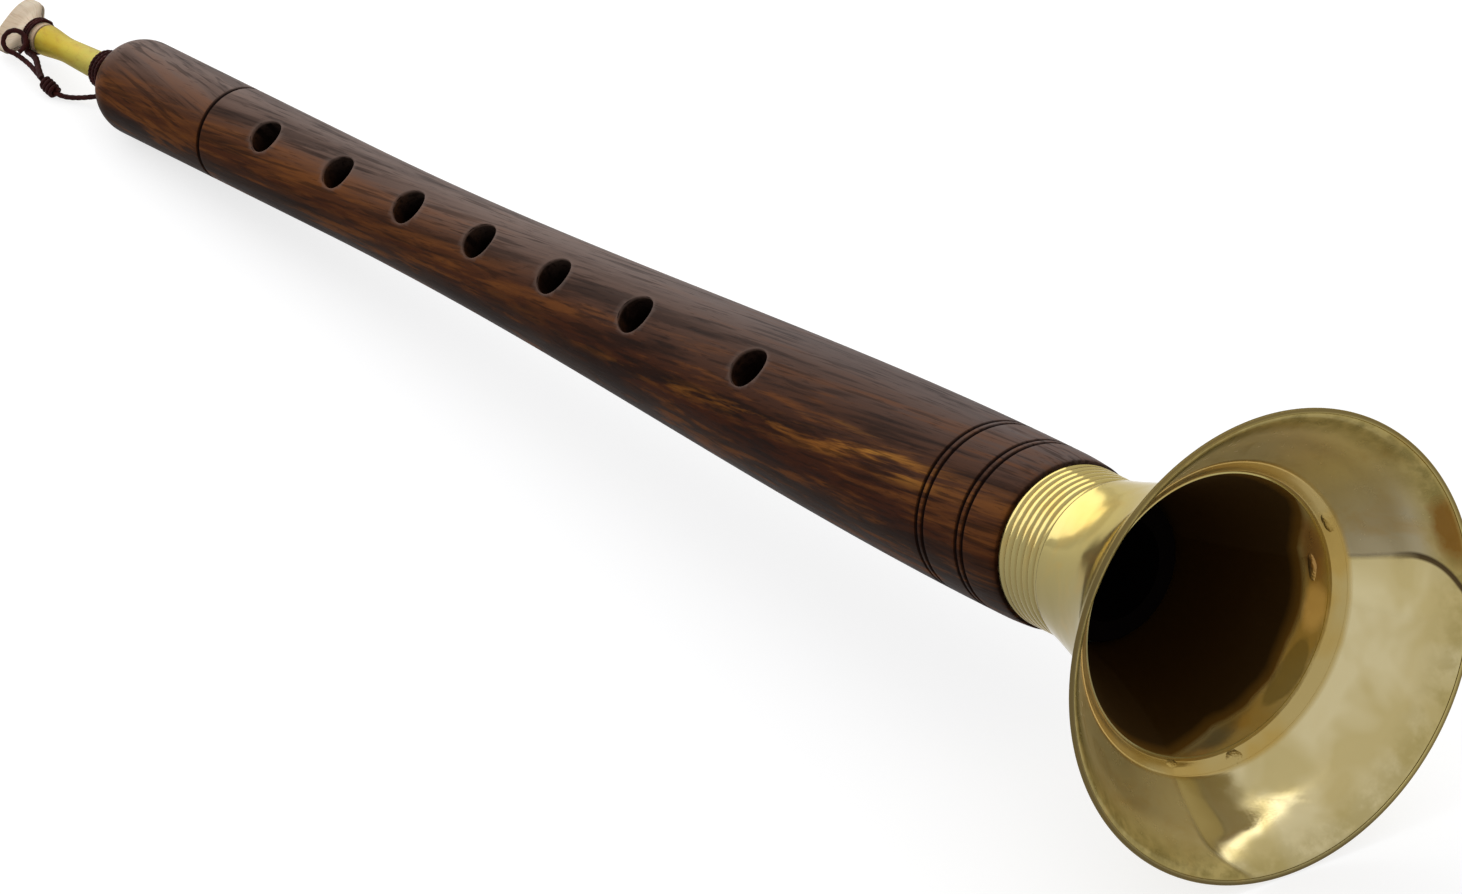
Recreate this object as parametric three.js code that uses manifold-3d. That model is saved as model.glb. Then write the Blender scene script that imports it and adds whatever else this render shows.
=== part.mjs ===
// A shehnai lying on its side: a conical rosewood pipe with seven finger holes, a brass bell on
// its lower tenon, and a quadruple reed on a brass staple in its domed head. Millimetres, +Z up.
// In the pipe's own frame Y runs along the bore from the bell's mouth to the reed, and Z points
// to the finger holes. A station is a distance from the mouth along Y.
import * as THREE from 'three';
import { mergeVertices } from 'three/addons/utils/BufferGeometryUtils.js';
import Module from 'manifold-3d';

const wasm = await Module();
wasm.setup();

// Clearances and cutting
const fit = 0.3;
const overrun = 2;

// Bell: one spun brass shell, from the sleeve over the tenon to the mouth
const bellLength = 67.1;
const bellWall = 0.9;
const mouthRadius = 47.5;
const rimLand = 0.5;
const rimRounding = 0.45;
const creaseRadius = 34.8;
const creaseDepth = 15.3;
const throatRadius = 28.8;
const throatDepth = 21;
const sleeveBoreRadius = 15.6;
const sleeveLength = 9;
const turnedLineCount = 6;
const turnedLinePitch = 1.9;
const turnedLineDepth = 0.25;
const bellSegments = 48;

// Pipe
const pipeLength = 321.7;
const shoulderRadius = 17.1;
const shoulderEdge = 0.5;
const bellyRadius = 17.4;
const bellyFromShoulder = 7.6;
const headRadius = 9.7;
const headFromPole = 80;
const tenonLength = 15.7;
const boreTopRadius = 2.6;
const boreEndRadius = 10.5;
const pipeSegments = 36;
const taperSteps = 11;
const domeSteps = 6;

// Grooves turned into the pipe
const grooveWidth = 1;
const grooveDepth = 0.5;
const groovePairSpacing = 2;
const lowerGroovesFromShoulder = 11.6;
const upperGroovesFromShoulder = 24.7;
const headGrooveFromPole = 42.3;

// Finger holes, from the lowest to the highest, as shares of the pipe's length from its shoulder
const holePlaceShares = [0.284, 0.408, 0.498, 0.58, 0.657, 0.733, 0.81];
const lowestHoleDiameter = 8.6;
const highestHoleDiameter = 7;
const holeSides = 20;

// Thread lapping on the tenon and on the staple's foot
const tenonLappingWall = 0.4;
const tenonLappingMargin = 2;
const stapleLappingWall = 0.45;
const lappingSegments = 24;

// Staple
const socketDepth = 21;
const socketFloorGap = 1;
const stapleReach = 24.5;
const stapleFootRadius = 2.75;
const stapleWaistRadius = 2.1;
const stapleLipRadius = 2.95;
const lipRounding = 0.5;
const spigotRadius = 1.45;
const spigotLength = 5;
const stapleBoreFootRadius = 1.9;
const stapleBoreTipRadius = 0.8;
const stapleSegments = 20;
// [share of the reach, share of the way from the waist's radius to the lip's]
const stapleShapeShares = [[0.24, 0.76], [0.42, 0.53], [0.58, 0.28], [0.73, 0], [0.85, 0.27], [0.94, 0.73]];

// Reed: two outer and two inner blades, half round at the root and fanned flat at the tip
const reedLength = 12.4;
const bladeRootRadius = 2.85;
const outerBladeWall = 0.45;
const innerBladeWall = 0.35;
const reedMouthGap = 0.6;
const reedTipWidth = 9;
const bladeCrown = 0.45;
const fanStart = 4.4;
const innerBladeSetback = 0.7;
const tipCornerRounding = 1.5;
const bladeEdgeAngle = THREE.MathUtils.degToRad(84);
const bladeRows = 9;
const bladeColumns = 8;

// Binding round the reed, and the hitch of the tether round the staple's foot
const bindingThread = 0.9;
const bindingPitch = 1.35;
const bindingTurns = 2;
const bindingFromRoot = 1.35;
const tetherThickness = 1;
const hitchPitch = 1.5;
const hitchTurns = 2;
const hitchFromPole = 1.3;
const hitchEndAngle = THREE.MathUtils.degToRad(250);
const stepsPerTurn = 24;
const windingSides = 6;
const leastWindingGap = 0.4;

// Tether: routes of its free stretches in the pipe's frame, each point as [X, station, Z]
const tetherRoute = [[-4.2, 394, -3.1], [-5.8, 396.7, -2.9], [-7.2, 399.6, -2.3], [-8.1, 401.7, -1.7],
  [-8.3, 402.9, -1.3]];
const bindingStrandRoute = [[-7.7, 407, -0.6], [-7, 408.8, -0.4], [-6, 410.4, 0.2], [-4.8, 412, 1],
  [-3.8, 413.4, 1.8], [-3.3, 414.6, 2.3]];
const eyeStrandRoute = [[-8.4, 407.1, -1.5], [-8.3, 409, -1.5], [-7.9, 411.3, -1.3], [-7.5, 413.8, -0.9],
  [-7.3, 415.6, -0.5], [-7.2, 416.6, -0.2]];
const eyeRoute = [[-2.4, 419.4, 2.95], [-2.1, 421.1, 2.9], [-2.5, 423, 2.9], [-3.8, 424.5, 2.8],
  [-5.3, 424.9, 2.2], [-6.4, 424, 1.3], [-6.9, 422.4, 0.6], [-7, 420.6, 0.3], [-6.9, 418.8, 0.5],
  [-6.3, 417.4, 1.1], [-5.3, 416.6, 1.8], [-4.75, 416.3, 2.2]];
const knotPlace = [-8.2, 404.9, -0.6];
const knotLength = 3.4;
const knotThickness = 2.3;
const cordSides = 8;
const cordStep = 2 * tetherThickness;

// Pose on a table: it rests on the mouth's rim and on the head, with the holes rolled to one side
const holeRoll = THREE.MathUtils.degToRad(38);

// Derived stations
const shoulderStation = bellLength + fit;
const poleStation = shoulderStation + pipeLength;
const domeStation = poleStation - headRadius;
const tenonEndStation = shoulderStation - tenonLength;
const bellyStation = shoulderStation + bellyFromShoulder;
const headStation = poleStation - headFromPole;
const sleeveOuterRadius = sleeveBoreRadius + bellWall;
const tenonRadius = sleeveBoreRadius - tenonLappingWall - 2 * fit;
const socketRadius = stapleFootRadius + stapleLappingWall + 2 * fit;
const socketMouthStation = domeStation + Math.sqrt(headRadius ** 2 - socketRadius ** 2);
const socketFloorStation = socketMouthStation - socketDepth;
const stapleFootStation = socketFloorStation + socketFloorGap;
const lipStation = poleStation + stapleReach;
const spigotEndStation = lipStation + spigotLength;
const reedRootStation = lipStation + fit;
const restTilt = Math.atan2(mouthRadius - headRadius, domeStation - rimRounding);

// A lathe turned so that one flat facet of it faces the table
function turned(outline, segments) {
  const phase = Math.PI + holeRoll + Math.PI / segments;
  return new THREE.LatheGeometry(outline, segments, phase);
}

function point(radius, station) {
  return new THREE.Vector2(radius, station);
}

function piece(name, geometry, color, roughness, metalness) {
  const material = new THREE.MeshStandardMaterial({ color, roughness, metalness });
  const mesh = new THREE.Mesh(geometry, material);
  mesh.name = name;
  return mesh;
}

function toSolid(geometry) {
  const bare = geometry.clone();
  bare.deleteAttribute('normal');
  bare.deleteAttribute('uv');
  const merged = mergeVertices(bare);
  const vertProperties = new Float32Array(merged.attributes.position.array);
  const triVerts = new Uint32Array(merged.index.array);
  return new wasm.Manifold(new wasm.Mesh({ numProp: 3, vertProperties, triVerts }));
}

function toGeometry(solid) {
  const mesh = solid.getMesh();
  const geometry = new THREE.BufferGeometry();
  geometry.setAttribute('position', new THREE.BufferAttribute(mesh.vertProperties, 3));
  geometry.setIndex(new THREE.BufferAttribute(mesh.triVerts, 1));
  return geometry;
}

// Bell

// The shell's inner face, from the end of the sleeve to the rim
function bellInnerOutline() {
  const sleeveEnd = bellLength - sleeveLength;
  const flareLength = sleeveEnd - throatDepth;
  const flareRise = throatRadius - sleeveBoreRadius;
  const flareShares = [[0, 0], [0.1, 0.04], [0.2, 0.1], [0.4, 0.25], [0.6, 0.44], [0.8, 0.68], [0.93, 0.88],
    [1, 1]];
  const flare = flareShares.map(([along, out]) => (
    point(sleeveBoreRadius + out * flareRise, sleeveEnd - along * flareLength)));
  const bandShares = [[0.1, 0.24], [0.42, 0.55], [0.78, 0.82], [1, 1]];
  const band = bandShares.map(([out, along]) => (
    point(THREE.MathUtils.lerp(throatRadius, creaseRadius, out),
      THREE.MathUtils.lerp(throatDepth, creaseDepth, along))));
  const rimInnerRadius = mouthRadius - rimRounding - rimLand;
  const dishShares = [[0.2, 0.24], [0.44, 0.5], [0.7, 0.75], [0.9, 0.92]];
  const dish = dishShares.map(([out, along]) => (
    point(THREE.MathUtils.lerp(creaseRadius, rimInnerRadius, out), creaseDepth * (1 - along))));
  return [point(sleeveBoreRadius, bellLength), ...flare, ...band, ...dish];
}

// The same face set off by the wall, on the side away from the bore
function setOff(outline, wall) {
  return outline.map((here, index) => {
    const before = outline[Math.max(index - 1, 0)];
    const after = outline[Math.min(index + 1, outline.length - 1)];
    const along = after.clone().sub(before).normalize();
    return point(here.x - along.y * wall, here.y + along.x * wall);
  });
}

function turnedLines() {
  const lines = [];
  for (let line = 1; line <= turnedLineCount; line += 1) {
    const station = bellLength - line * turnedLinePitch;
    lines.push(point(sleeveOuterRadius, station + turnedLinePitch / 2));
    lines.push(point(sleeveOuterRadius - turnedLineDepth, station));
  }
  return lines;
}

function bellGeometry() {
  const inner = bellInnerOutline();
  const linesEnd = bellLength - (turnedLineCount + 1) * turnedLinePitch;
  const outer = setOff(inner, bellWall).filter((corner) => corner.y < linesEnd);
  const rim = [
    point(mouthRadius - rimRounding - rimLand, 0),
    point(mouthRadius - rimRounding, 0),
    point(mouthRadius - rimRounding * (1 - Math.SQRT1_2), rimRounding * (1 - Math.SQRT1_2)),
    point(mouthRadius, rimRounding),
  ];
  const sleeve = [point(sleeveOuterRadius, bellLength), ...turnedLines()];
  const outline = [...inner, ...rim, ...outer.reverse(), ...sleeve.reverse(), inner[0]];
  return turned(outline, bellSegments);
}

// Pipe

// Outer radius between the belly, next to the bell, and the head: one half wave of a cosine
function pipeRadius(station) {
  const along = (station - bellyStation) / (headStation - bellyStation);
  const wave = (1 + Math.cos(Math.PI * THREE.MathUtils.clamp(along, 0, 1))) / 2;
  return headRadius + (bellyRadius - headRadius) * wave;
}

function groove(station) {
  const near = station - grooveWidth / 2;
  const far = station + grooveWidth / 2;
  return [point(pipeRadius(near), near), point(pipeRadius(station) - grooveDepth, station),
    point(pipeRadius(far), far)];
}

function groovePair(station) {
  return [...groove(station - groovePairSpacing / 2), ...groove(station + groovePairSpacing / 2)];
}

function pipeOutline() {
  const upperGrooves = shoulderStation + upperGroovesFromShoulder;
  const headGroove = poleStation - headGrooveFromPole;
  const taperStart = upperGrooves + groovePairSpacing;
  const taper = [];
  for (let step = 1; step <= taperSteps; step += 1) {
    const station = THREE.MathUtils.lerp(taperStart, headStation, step / taperSteps);
    taper.push(point(pipeRadius(station), station));
  }
  const dome = [];
  const mouthAngle = Math.acos(socketRadius / headRadius);
  for (let step = 0; step <= domeSteps; step += 1) {
    const angle = mouthAngle * step / domeSteps;
    dome.push(point(headRadius * Math.cos(angle), domeStation + headRadius * Math.sin(angle)));
  }
  return [
    point(boreEndRadius, tenonEndStation),
    point(tenonRadius, tenonEndStation),
    point(tenonRadius, shoulderStation),
    point(shoulderRadius - shoulderEdge, shoulderStation),
    point(shoulderRadius, shoulderStation + shoulderEdge),
    point(bellyRadius, bellyStation),
    ...groovePair(shoulderStation + lowerGroovesFromShoulder),
    ...groovePair(upperGrooves),
    ...taper,
    ...groove(headGroove),
    ...dome,
    point(socketRadius, socketFloorStation),
    point(boreTopRadius, socketFloorStation),
    point(boreEndRadius, tenonEndStation),
  ];
}

function pipeGeometry() {
  let solid = toSolid(turned(pipeOutline(), pipeSegments));
  const last = holePlaceShares.length - 1;
  holePlaceShares.forEach((share, index) => {
    const station = shoulderStation + share * pipeLength;
    const diameter = THREE.MathUtils.lerp(lowestHoleDiameter, highestHoleDiameter, index / last);
    const depth = pipeRadius(station) + overrun;
    const drill = new THREE.CylinderGeometry(diameter / 2, diameter / 2, depth, holeSides);
    drill.rotateX(Math.PI / 2);
    drill.translate(0, station, depth / 2);
    solid = solid.subtract(toSolid(drill));
  });
  return toGeometry(solid);
}

function sleeveGeometry(innerRadius, wall, start, end) {
  const outline = [point(innerRadius, start), point(innerRadius + wall, start),
    point(innerRadius + wall, end), point(innerRadius, end), point(innerRadius, start)];
  return turned(outline, lappingSegments);
}

// Staple

function stapleGeometry() {
  const shape = stapleShapeShares.map(([along, out]) => (
    point(THREE.MathUtils.lerp(stapleWaistRadius, stapleLipRadius, out), poleStation + along * stapleReach)));
  const outline = [
    point(stapleBoreFootRadius, stapleFootStation),
    point(stapleFootRadius, stapleFootStation),
    point(stapleFootRadius, poleStation),
    ...shape,
    point(stapleLipRadius, lipStation - lipRounding),
    point(stapleLipRadius - lipRounding / 2, lipStation),
    point(spigotRadius, lipStation),
    point(spigotRadius, spigotEndStation),
    point(stapleBoreTipRadius, spigotEndStation),
    point(stapleBoreFootRadius, stapleFootStation),
  ];
  return turned(outline, stapleSegments);
}

// Reed

// A closed sheet between two faces, each given as a function of two shares from 0 to 1
function sheetGeometry(outerFace, innerFace, rows, columns) {
  const corners = [];
  [outerFace, innerFace].forEach((face) => {
    for (let row = 0; row <= rows; row += 1) {
      for (let column = 0; column <= columns; column += 1) {
        corners.push(...face(row / rows, column / columns).toArray());
      }
    }
  });
  const stride = columns + 1;
  const faceCorners = (rows + 1) * stride;
  const outer = (row, column) => row * stride + column;
  const inner = (row, column) => faceCorners + outer(row, column);
  const triangles = [];
  const quad = (a, b, c, d) => triangles.push(a, c, b, a, d, c);
  for (let row = 0; row < rows; row += 1) {
    for (let column = 0; column < columns; column += 1) {
      quad(outer(row, column), outer(row + 1, column), outer(row + 1, column + 1), outer(row, column + 1));
      quad(inner(row, column), inner(row, column + 1), inner(row + 1, column + 1), inner(row + 1, column));
    }
    quad(outer(row, 0), inner(row, 0), inner(row + 1, 0), outer(row + 1, 0));
    quad(outer(row, columns), outer(row + 1, columns), inner(row + 1, columns), inner(row, columns));
  }
  for (let column = 0; column < columns; column += 1) {
    quad(outer(0, column), outer(0, column + 1), inner(0, column + 1), inner(0, column));
    quad(outer(rows, column), inner(rows, column), inner(rows, column + 1), outer(rows, column + 1));
  }
  const geometry = new THREE.BufferGeometry();
  geometry.setAttribute('position', new THREE.Float32BufferAttribute(corners, 3));
  geometry.setIndex(triangles);
  return geometry;
}

function bladeGeometry(rootRadius, wall, length, lift) {
  const { lerp, smoothstep } = THREE.MathUtils;
  const halfWidth = reedTipWidth / 2;
  const face = (inward) => (along, across) => {
    const angle = lerp(-bladeEdgeAngle, bladeEdgeAngle, across);
    const side = Math.sin(angle);
    const fanned = smoothstep(along * length, fanStart, reedLength);
    const flat = smoothstep(along * length, fanStart, (fanStart + reedLength) / 2);
    const radius = rootRadius - inward * wall;
    const width = lerp(rootRadius, halfWidth, fanned) - inward * wall * (1 - flat);
    const round = radius * Math.cos(angle);
    const fanHeight = lift + (1 - inward) * wall + bladeCrown * Math.cos(angle);
    const corner = tipCornerRounding * fanned * side ** 4;
    return new THREE.Vector3(width * side, reedRootStation + along * length - corner,
      lerp(round, fanHeight, flat));
  };
  return sheetGeometry(face(0), face(1), bladeRows, bladeColumns);
}

// Cords and windings

// A closed tube of a round section through the points, with flat ends
function tubeGeometry(points, thickness, sides) {
  const corners = [];
  let across = new THREE.Vector3(0, 1, 0);
  points.forEach((centre, index) => {
    const before = points[Math.max(index - 1, 0)];
    const after = points[Math.min(index + 1, points.length - 1)];
    const along = after.clone().sub(before).normalize();
    across = across.clone().addScaledVector(along, -across.dot(along)).normalize();
    const up = along.clone().cross(across);
    for (let side = 0; side < sides; side += 1) {
      const angle = 2 * Math.PI * side / sides;
      const corner = centre.clone()
        .addScaledVector(across, Math.cos(angle) * thickness / 2)
        .addScaledVector(up, Math.sin(angle) * thickness / 2);
      corners.push(...corner.toArray());
    }
  });
  const triangles = [];
  for (let ring = 0; ring < points.length - 1; ring += 1) {
    for (let side = 0; side < sides; side += 1) {
      const a = ring * sides + side;
      const b = ring * sides + (side + 1) % sides;
      triangles.push(a, b, b + sides, a, b + sides, a + sides);
    }
  }
  const lastRing = (points.length - 1) * sides;
  for (let side = 1; side < sides - 1; side += 1) {
    triangles.push(0, side + 1, side);
    triangles.push(lastRing, lastRing + side, lastRing + side + 1);
  }
  const geometry = new THREE.BufferGeometry();
  geometry.setAttribute('position', new THREE.Float32BufferAttribute(corners, 3));
  geometry.setIndex(triangles);
  return geometry;
}

// Points of a winding round the bore's axis that climbs by its pitch and ends at an angle,
// with a straight end of one thread's thickness at both ends
function windingPoints(radius, start, pitch, turns, endAngle, thickness) {
  const steps = turns * stepsPerTurn;
  const points = [];
  for (let step = 0; step <= steps; step += 1) {
    const angle = endAngle + 2 * Math.PI * (steps - step) / stepsPerTurn;
    const station = start + pitch * step / stepsPerTurn;
    points.push(new THREE.Vector3(radius * Math.cos(angle), station, radius * Math.sin(angle)));
  }
  const straightEnd = (from, to) => to.clone().addScaledVector(to.clone().sub(from).normalize(), thickness);
  return [straightEnd(points[1], points[0]), ...points, straightEnd(points[steps - 1], points[steps])];
}

// Least clear distance between stretches of a winding that lie at least half a turn apart
function leastGap(points, thickness) {
  let least = Infinity;
  points.forEach((here, index) => {
    points.slice(index + stepsPerTurn / 2).forEach((there) => {
      least = Math.min(least, here.distanceTo(there) - thickness);
    });
  });
  return least;
}

function report(name, points, thickness) {
  const gap = leastGap(points, thickness);
  const verdict = gap > leastWindingGap ? 'clear' : 'too close';
  console.log(`${name}: least gap to itself ${gap.toFixed(2)} mm, ${verdict}`);
}

function cordGeometry(points) {
  const path = new THREE.CatmullRomCurve3(points, false, 'centripetal');
  const section = new THREE.Shape();
  for (let side = 0; side < cordSides; side += 1) {
    const angle = 2 * Math.PI * side / cordSides;
    const x = Math.cos(angle) * tetherThickness / 2;
    const y = Math.sin(angle) * tetherThickness / 2;
    if (side === 0) section.moveTo(x, y);
    else section.lineTo(x, y);
  }
  section.closePath();
  const steps = Math.ceil(path.getLength() / cordStep);
  return new THREE.ExtrudeGeometry(section, { steps, bevelEnabled: false, extrudePath: path });
}

const toPoints = (route) => route.map(([x, station, z]) => new THREE.Vector3(x, station, z));

// Assembly
const brass = 0xc9b25e;
const paleBrass = 0xd8bd3c;
const rosewood = 0x543630;
const cane = 0xd8c0a0;
const darkThread = 0x3a1418;
const lappingThread = 0x2c3224;

const bindingRadius = bladeRootRadius + fit + bindingThread / 2;
const bindingStart = reedRootStation + bindingFromRoot + bindingThread / 2;
const bindingPoints = windingPoints(bindingRadius, bindingStart, bindingPitch, bindingTurns, 0, bindingThread);
const hitchRadius = stapleFootRadius + fit + tetherThickness / 2;
const hitchStart = poleStation + hitchFromPole;
const hitchPoints = windingPoints(hitchRadius, hitchStart, hitchPitch, hitchTurns, hitchEndAngle, tetherThickness);
report('reed_binding', bindingPoints, bindingThread);
report('tether_hitch', hitchPoints, tetherThickness);

const hitchEnd = hitchPoints[hitchPoints.length - 1];
const hitchWay = hitchEnd.clone().sub(hitchPoints[hitchPoints.length - 2]).normalize();
const tetherStart = [hitchEnd.clone().addScaledVector(hitchWay, fit),
  hitchEnd.clone().addScaledVector(hitchWay, fit + tetherThickness)];

const innerRootRadius = bladeRootRadius - outerBladeWall - fit;
const innerLift = reedMouthGap / 2;
const outerLift = innerLift + innerBladeWall + fit;
const innerLength = reedLength - innerBladeSetback;
const reedPieces = [
  piece('reed_upper_outer_blade', bladeGeometry(bladeRootRadius, outerBladeWall, reedLength, outerLift),
    cane, 0.7, 0),
  piece('reed_upper_inner_blade', bladeGeometry(innerRootRadius, innerBladeWall, innerLength, innerLift),
    cane, 0.7, 0),
  piece('reed_lower_inner_blade', bladeGeometry(innerRootRadius, innerBladeWall, innerLength, innerLift),
    cane, 0.7, 0),
  piece('reed_lower_outer_blade', bladeGeometry(bladeRootRadius, outerBladeWall, reedLength, outerLift),
    cane, 0.7, 0),
];
reedPieces.slice(2).forEach((blade) => blade.rotateY(Math.PI));

const knot = piece('tether_knot', new THREE.SphereGeometry(1, 12, 8), darkThread, 0.85, 0);
knot.scale.set(knotThickness / 2, knotLength / 2, knotThickness / 2);
knot.position.set(...knotPlace);

const tenonLapping = sleeveGeometry(tenonRadius + fit, tenonLappingWall,
  tenonEndStation + tenonLappingMargin, shoulderStation - tenonLappingMargin);
const stapleLapping = sleeveGeometry(stapleFootRadius + fit, stapleLappingWall,
  stapleFootStation + fit, socketMouthStation);

const inPipeFrame = new THREE.Group();
inPipeFrame.add(
  piece('bell', bellGeometry(), brass, 0.22, 1),
  piece('wooden_pipe', pipeGeometry(), rosewood, 0.5, 0),
  piece('tenon_lapping', tenonLapping, lappingThread, 0.9, 0),
  piece('staple', stapleGeometry(), paleBrass, 0.35, 1),
  piece('staple_lapping', stapleLapping, lappingThread, 0.9, 0),
  ...reedPieces,
  piece('reed_binding', tubeGeometry(bindingPoints, bindingThread, windingSides), darkThread, 0.85, 0),
  piece('tether_hitch', tubeGeometry(hitchPoints, tetherThickness, windingSides), darkThread, 0.85, 0),
  piece('tether_cord', cordGeometry([...tetherStart, ...toPoints(tetherRoute)]), darkThread, 0.85, 0),
  knot,
  piece('tether_binding_strand', cordGeometry(toPoints(bindingStrandRoute)), darkThread, 0.85, 0),
  piece('tether_eye_strand', cordGeometry(toPoints(eyeStrandRoute)), darkThread, 0.85, 0),
  piece('tether_eye', cordGeometry(toPoints(eyeRoute)), darkThread, 0.85, 0),
);

// The pipe's frame rolled about its axis, then laid along -X and tilted down to the head
const rolled = new THREE.Group();
rolled.rotation.y = -holeRoll;
rolled.add(inPipeFrame);
const laid = new THREE.Group();
laid.rotation.z = Math.PI / 2;
laid.add(rolled);
const tilted = new THREE.Group();
tilted.rotation.y = -restTilt;
tilted.add(laid);

// The origin is under the middle of the instrument, at table height; the tether doesn't count
const shehnai = new THREE.Group();
shehnai.add(tilted);
shehnai.updateMatrixWorld(true);
const extent = new THREE.Box3();
inPipeFrame.children.filter((mesh) => !mesh.name.startsWith('tether')).forEach((mesh) => {
  extent.union(new THREE.Box3().setFromObject(mesh, true));
});
const middle = extent.getCenter(new THREE.Vector3());
tilted.position.set(-middle.x, -middle.y, -extent.min.z);
shehnai.updateMatrixWorld(true);

export default shehnai;
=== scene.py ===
# Shehnai: a turned rosewood pipe with a spun brass bell and a cane reed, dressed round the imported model
import math
import bpy
import bmesh
from mathutils import Matrix, Vector


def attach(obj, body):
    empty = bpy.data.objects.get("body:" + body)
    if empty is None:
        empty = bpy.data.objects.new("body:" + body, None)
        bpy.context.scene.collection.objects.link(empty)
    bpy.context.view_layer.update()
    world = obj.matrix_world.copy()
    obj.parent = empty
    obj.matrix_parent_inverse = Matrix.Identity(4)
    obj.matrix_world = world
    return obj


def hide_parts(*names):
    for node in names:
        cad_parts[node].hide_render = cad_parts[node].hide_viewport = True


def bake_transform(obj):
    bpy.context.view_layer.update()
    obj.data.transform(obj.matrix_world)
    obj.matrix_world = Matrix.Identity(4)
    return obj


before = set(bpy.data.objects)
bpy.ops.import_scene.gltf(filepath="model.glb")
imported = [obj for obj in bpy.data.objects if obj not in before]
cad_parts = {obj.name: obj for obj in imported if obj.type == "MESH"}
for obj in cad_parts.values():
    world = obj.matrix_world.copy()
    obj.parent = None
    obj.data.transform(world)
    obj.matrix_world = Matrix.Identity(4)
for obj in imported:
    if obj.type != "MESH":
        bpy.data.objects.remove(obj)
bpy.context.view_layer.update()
mm = 0.001
fullTurn = 2 * math.pi

# The instrument's own frame: Y is the station, from the mouth towards the reed, and Z points to the finger holes
layout = {
    "mouthCentre": (209.876, 0.0, 47.278),
    "mouthRadius": 47.5,
    "headRadius": 9.7,
    "domeStation": 379.4,
    "rimRounding": 0.45,
    "holeRoll": 38.0,
    "shoulder": 67.4,
    "pole": 389.1,
    "fit": 0.3,
}
restTilt = math.atan2(layout["mouthRadius"] - layout["headRadius"], layout["domeStation"] - layout["rimRounding"])
pipeTurn = (
    Matrix.Rotation(-restTilt, 4, "Y")
    @ Matrix.Rotation(math.pi / 2, 4, "Z")
    @ Matrix.Rotation(-math.radians(layout["holeRoll"]), 4, "Y")
)
pipeToRow = Matrix.Translation(Vector(layout["mouthCentre"]) * mm) @ pipeTurn
rowToPipe = pipeToRow.inverted()
shoulder, pole = layout["shoulder"], layout["pole"]


def lerp(a, b, share):
    return a + (b - a) * share


def smoothStep(value, low, high):
    share = min(max((value - low) / (high - low), 0.0), 1.0)
    return share * share * (3 - 2 * share)


def newObject(name, data):
    obj = bpy.data.objects.new(name, data)
    bpy.context.scene.collection.objects.link(obj)
    return obj


# Camera: a long lens from the bell's side, above the table
cameraSettings = {
    "azimuth": 54.929,
    "elevation": 28.174,
    "roll": -0.998,
    "distance": 8.1109,
    "target": (0.02381, 0.0054, 0.0094),
    "lens": 1030.0,
    "sensor": 36.0,
    "clip": (0.1, 40.0),
}


def makeCamera():
    azimuth, elevation = math.radians(cameraSettings["azimuth"]), math.radians(cameraSettings["elevation"])
    back = Vector((
        math.sin(azimuth) * math.cos(elevation), -math.cos(azimuth) * math.cos(elevation), math.sin(elevation)))
    data = bpy.data.cameras.new("camera")
    data.lens, data.sensor_width = cameraSettings["lens"], cameraSettings["sensor"]
    data.clip_start, data.clip_end = cameraSettings["clip"]
    camera = newObject("camera", data)
    roll = Matrix.Rotation(math.radians(cameraSettings["roll"]), 3, "Z").to_quaternion()
    camera.rotation_mode = "QUATERNION"
    camera.rotation_quaternion = (-back).to_track_quat("-Z", "Y") @ roll
    camera.location = Vector(cameraSettings["target"]) + back * cameraSettings["distance"]
    bpy.context.scene.camera = camera


makeCamera()
print("camera set")


# A node's output that can be reckoned with: each sign adds one Math node
class Signal:
    def __init__(self, graph, socket):
        self.graph, self.socket = graph, socket

    def calc(self, operation, other=0.0):
        return self.graph.out("ShaderNodeMath", {0: self, 1: other}, operation=operation)

    def __add__(self, other):
        return self.calc("ADD", other)

    def __sub__(self, other):
        return self.calc("SUBTRACT", other)

    def __rsub__(self, other):
        return self.graph.out("ShaderNodeMath", {0: other, 1: self}, operation="SUBTRACT")

    def __mul__(self, other):
        return self.calc("MULTIPLY", other)

    def __truediv__(self, other):
        return self.calc("DIVIDE", other)

    def clamped(self):
        self.socket.node.use_clamp = True
        return self

    # Rises in a straight line from the start to the end value while this one goes from low to high
    def rise(self, low, high, start=0.0, end=1.0):
        return self.graph.out("ShaderNodeMapRange", {
            "Value": self, "From Min": low, "From Max": high, "To Min": start, "To Max": end}, clamp=True)


# Nodes of one tree; a single number for a colour is a grey
class Graph:
    def __init__(self, tree):
        self.tree = tree

    def fill(self, socket, value):
        if isinstance(value, Signal):
            self.tree.links.new(value.socket, socket)
        elif socket.type == "RGBA":
            socket.default_value = (*(value if isinstance(value, tuple) else (value,) * 3), 1)
        else:
            socket.default_value = value

    def add(self, kind, sources=(), **settings):
        node = self.tree.nodes.new(kind)
        for key, value in settings.items():
            setattr(node, key, value)
        for socket, value in dict(sources).items():
            self.fill(node.inputs[socket], value)
        return node

    def out(self, kind, sources=(), output=0, **settings):
        return Signal(self, self.add(kind, sources, **settings).outputs[output])

    def axes(self, vector):
        node = self.add("ShaderNodeSeparateXYZ", {0: vector})
        return [Signal(self, output) for output in node.outputs]

    # 1 for the camera's rays, reflections and what is seen through glass
    def seenDirectly(self):
        path = self.add("ShaderNodeLightPath").outputs
        camera, glossy, clear = (
            Signal(self, path[ray]) for ray in ("Is Camera Ray", "Is Glossy Ray", "Is Transmission Ray"))
        return ((camera + glossy).clamped() + clear).clamped()


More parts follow.
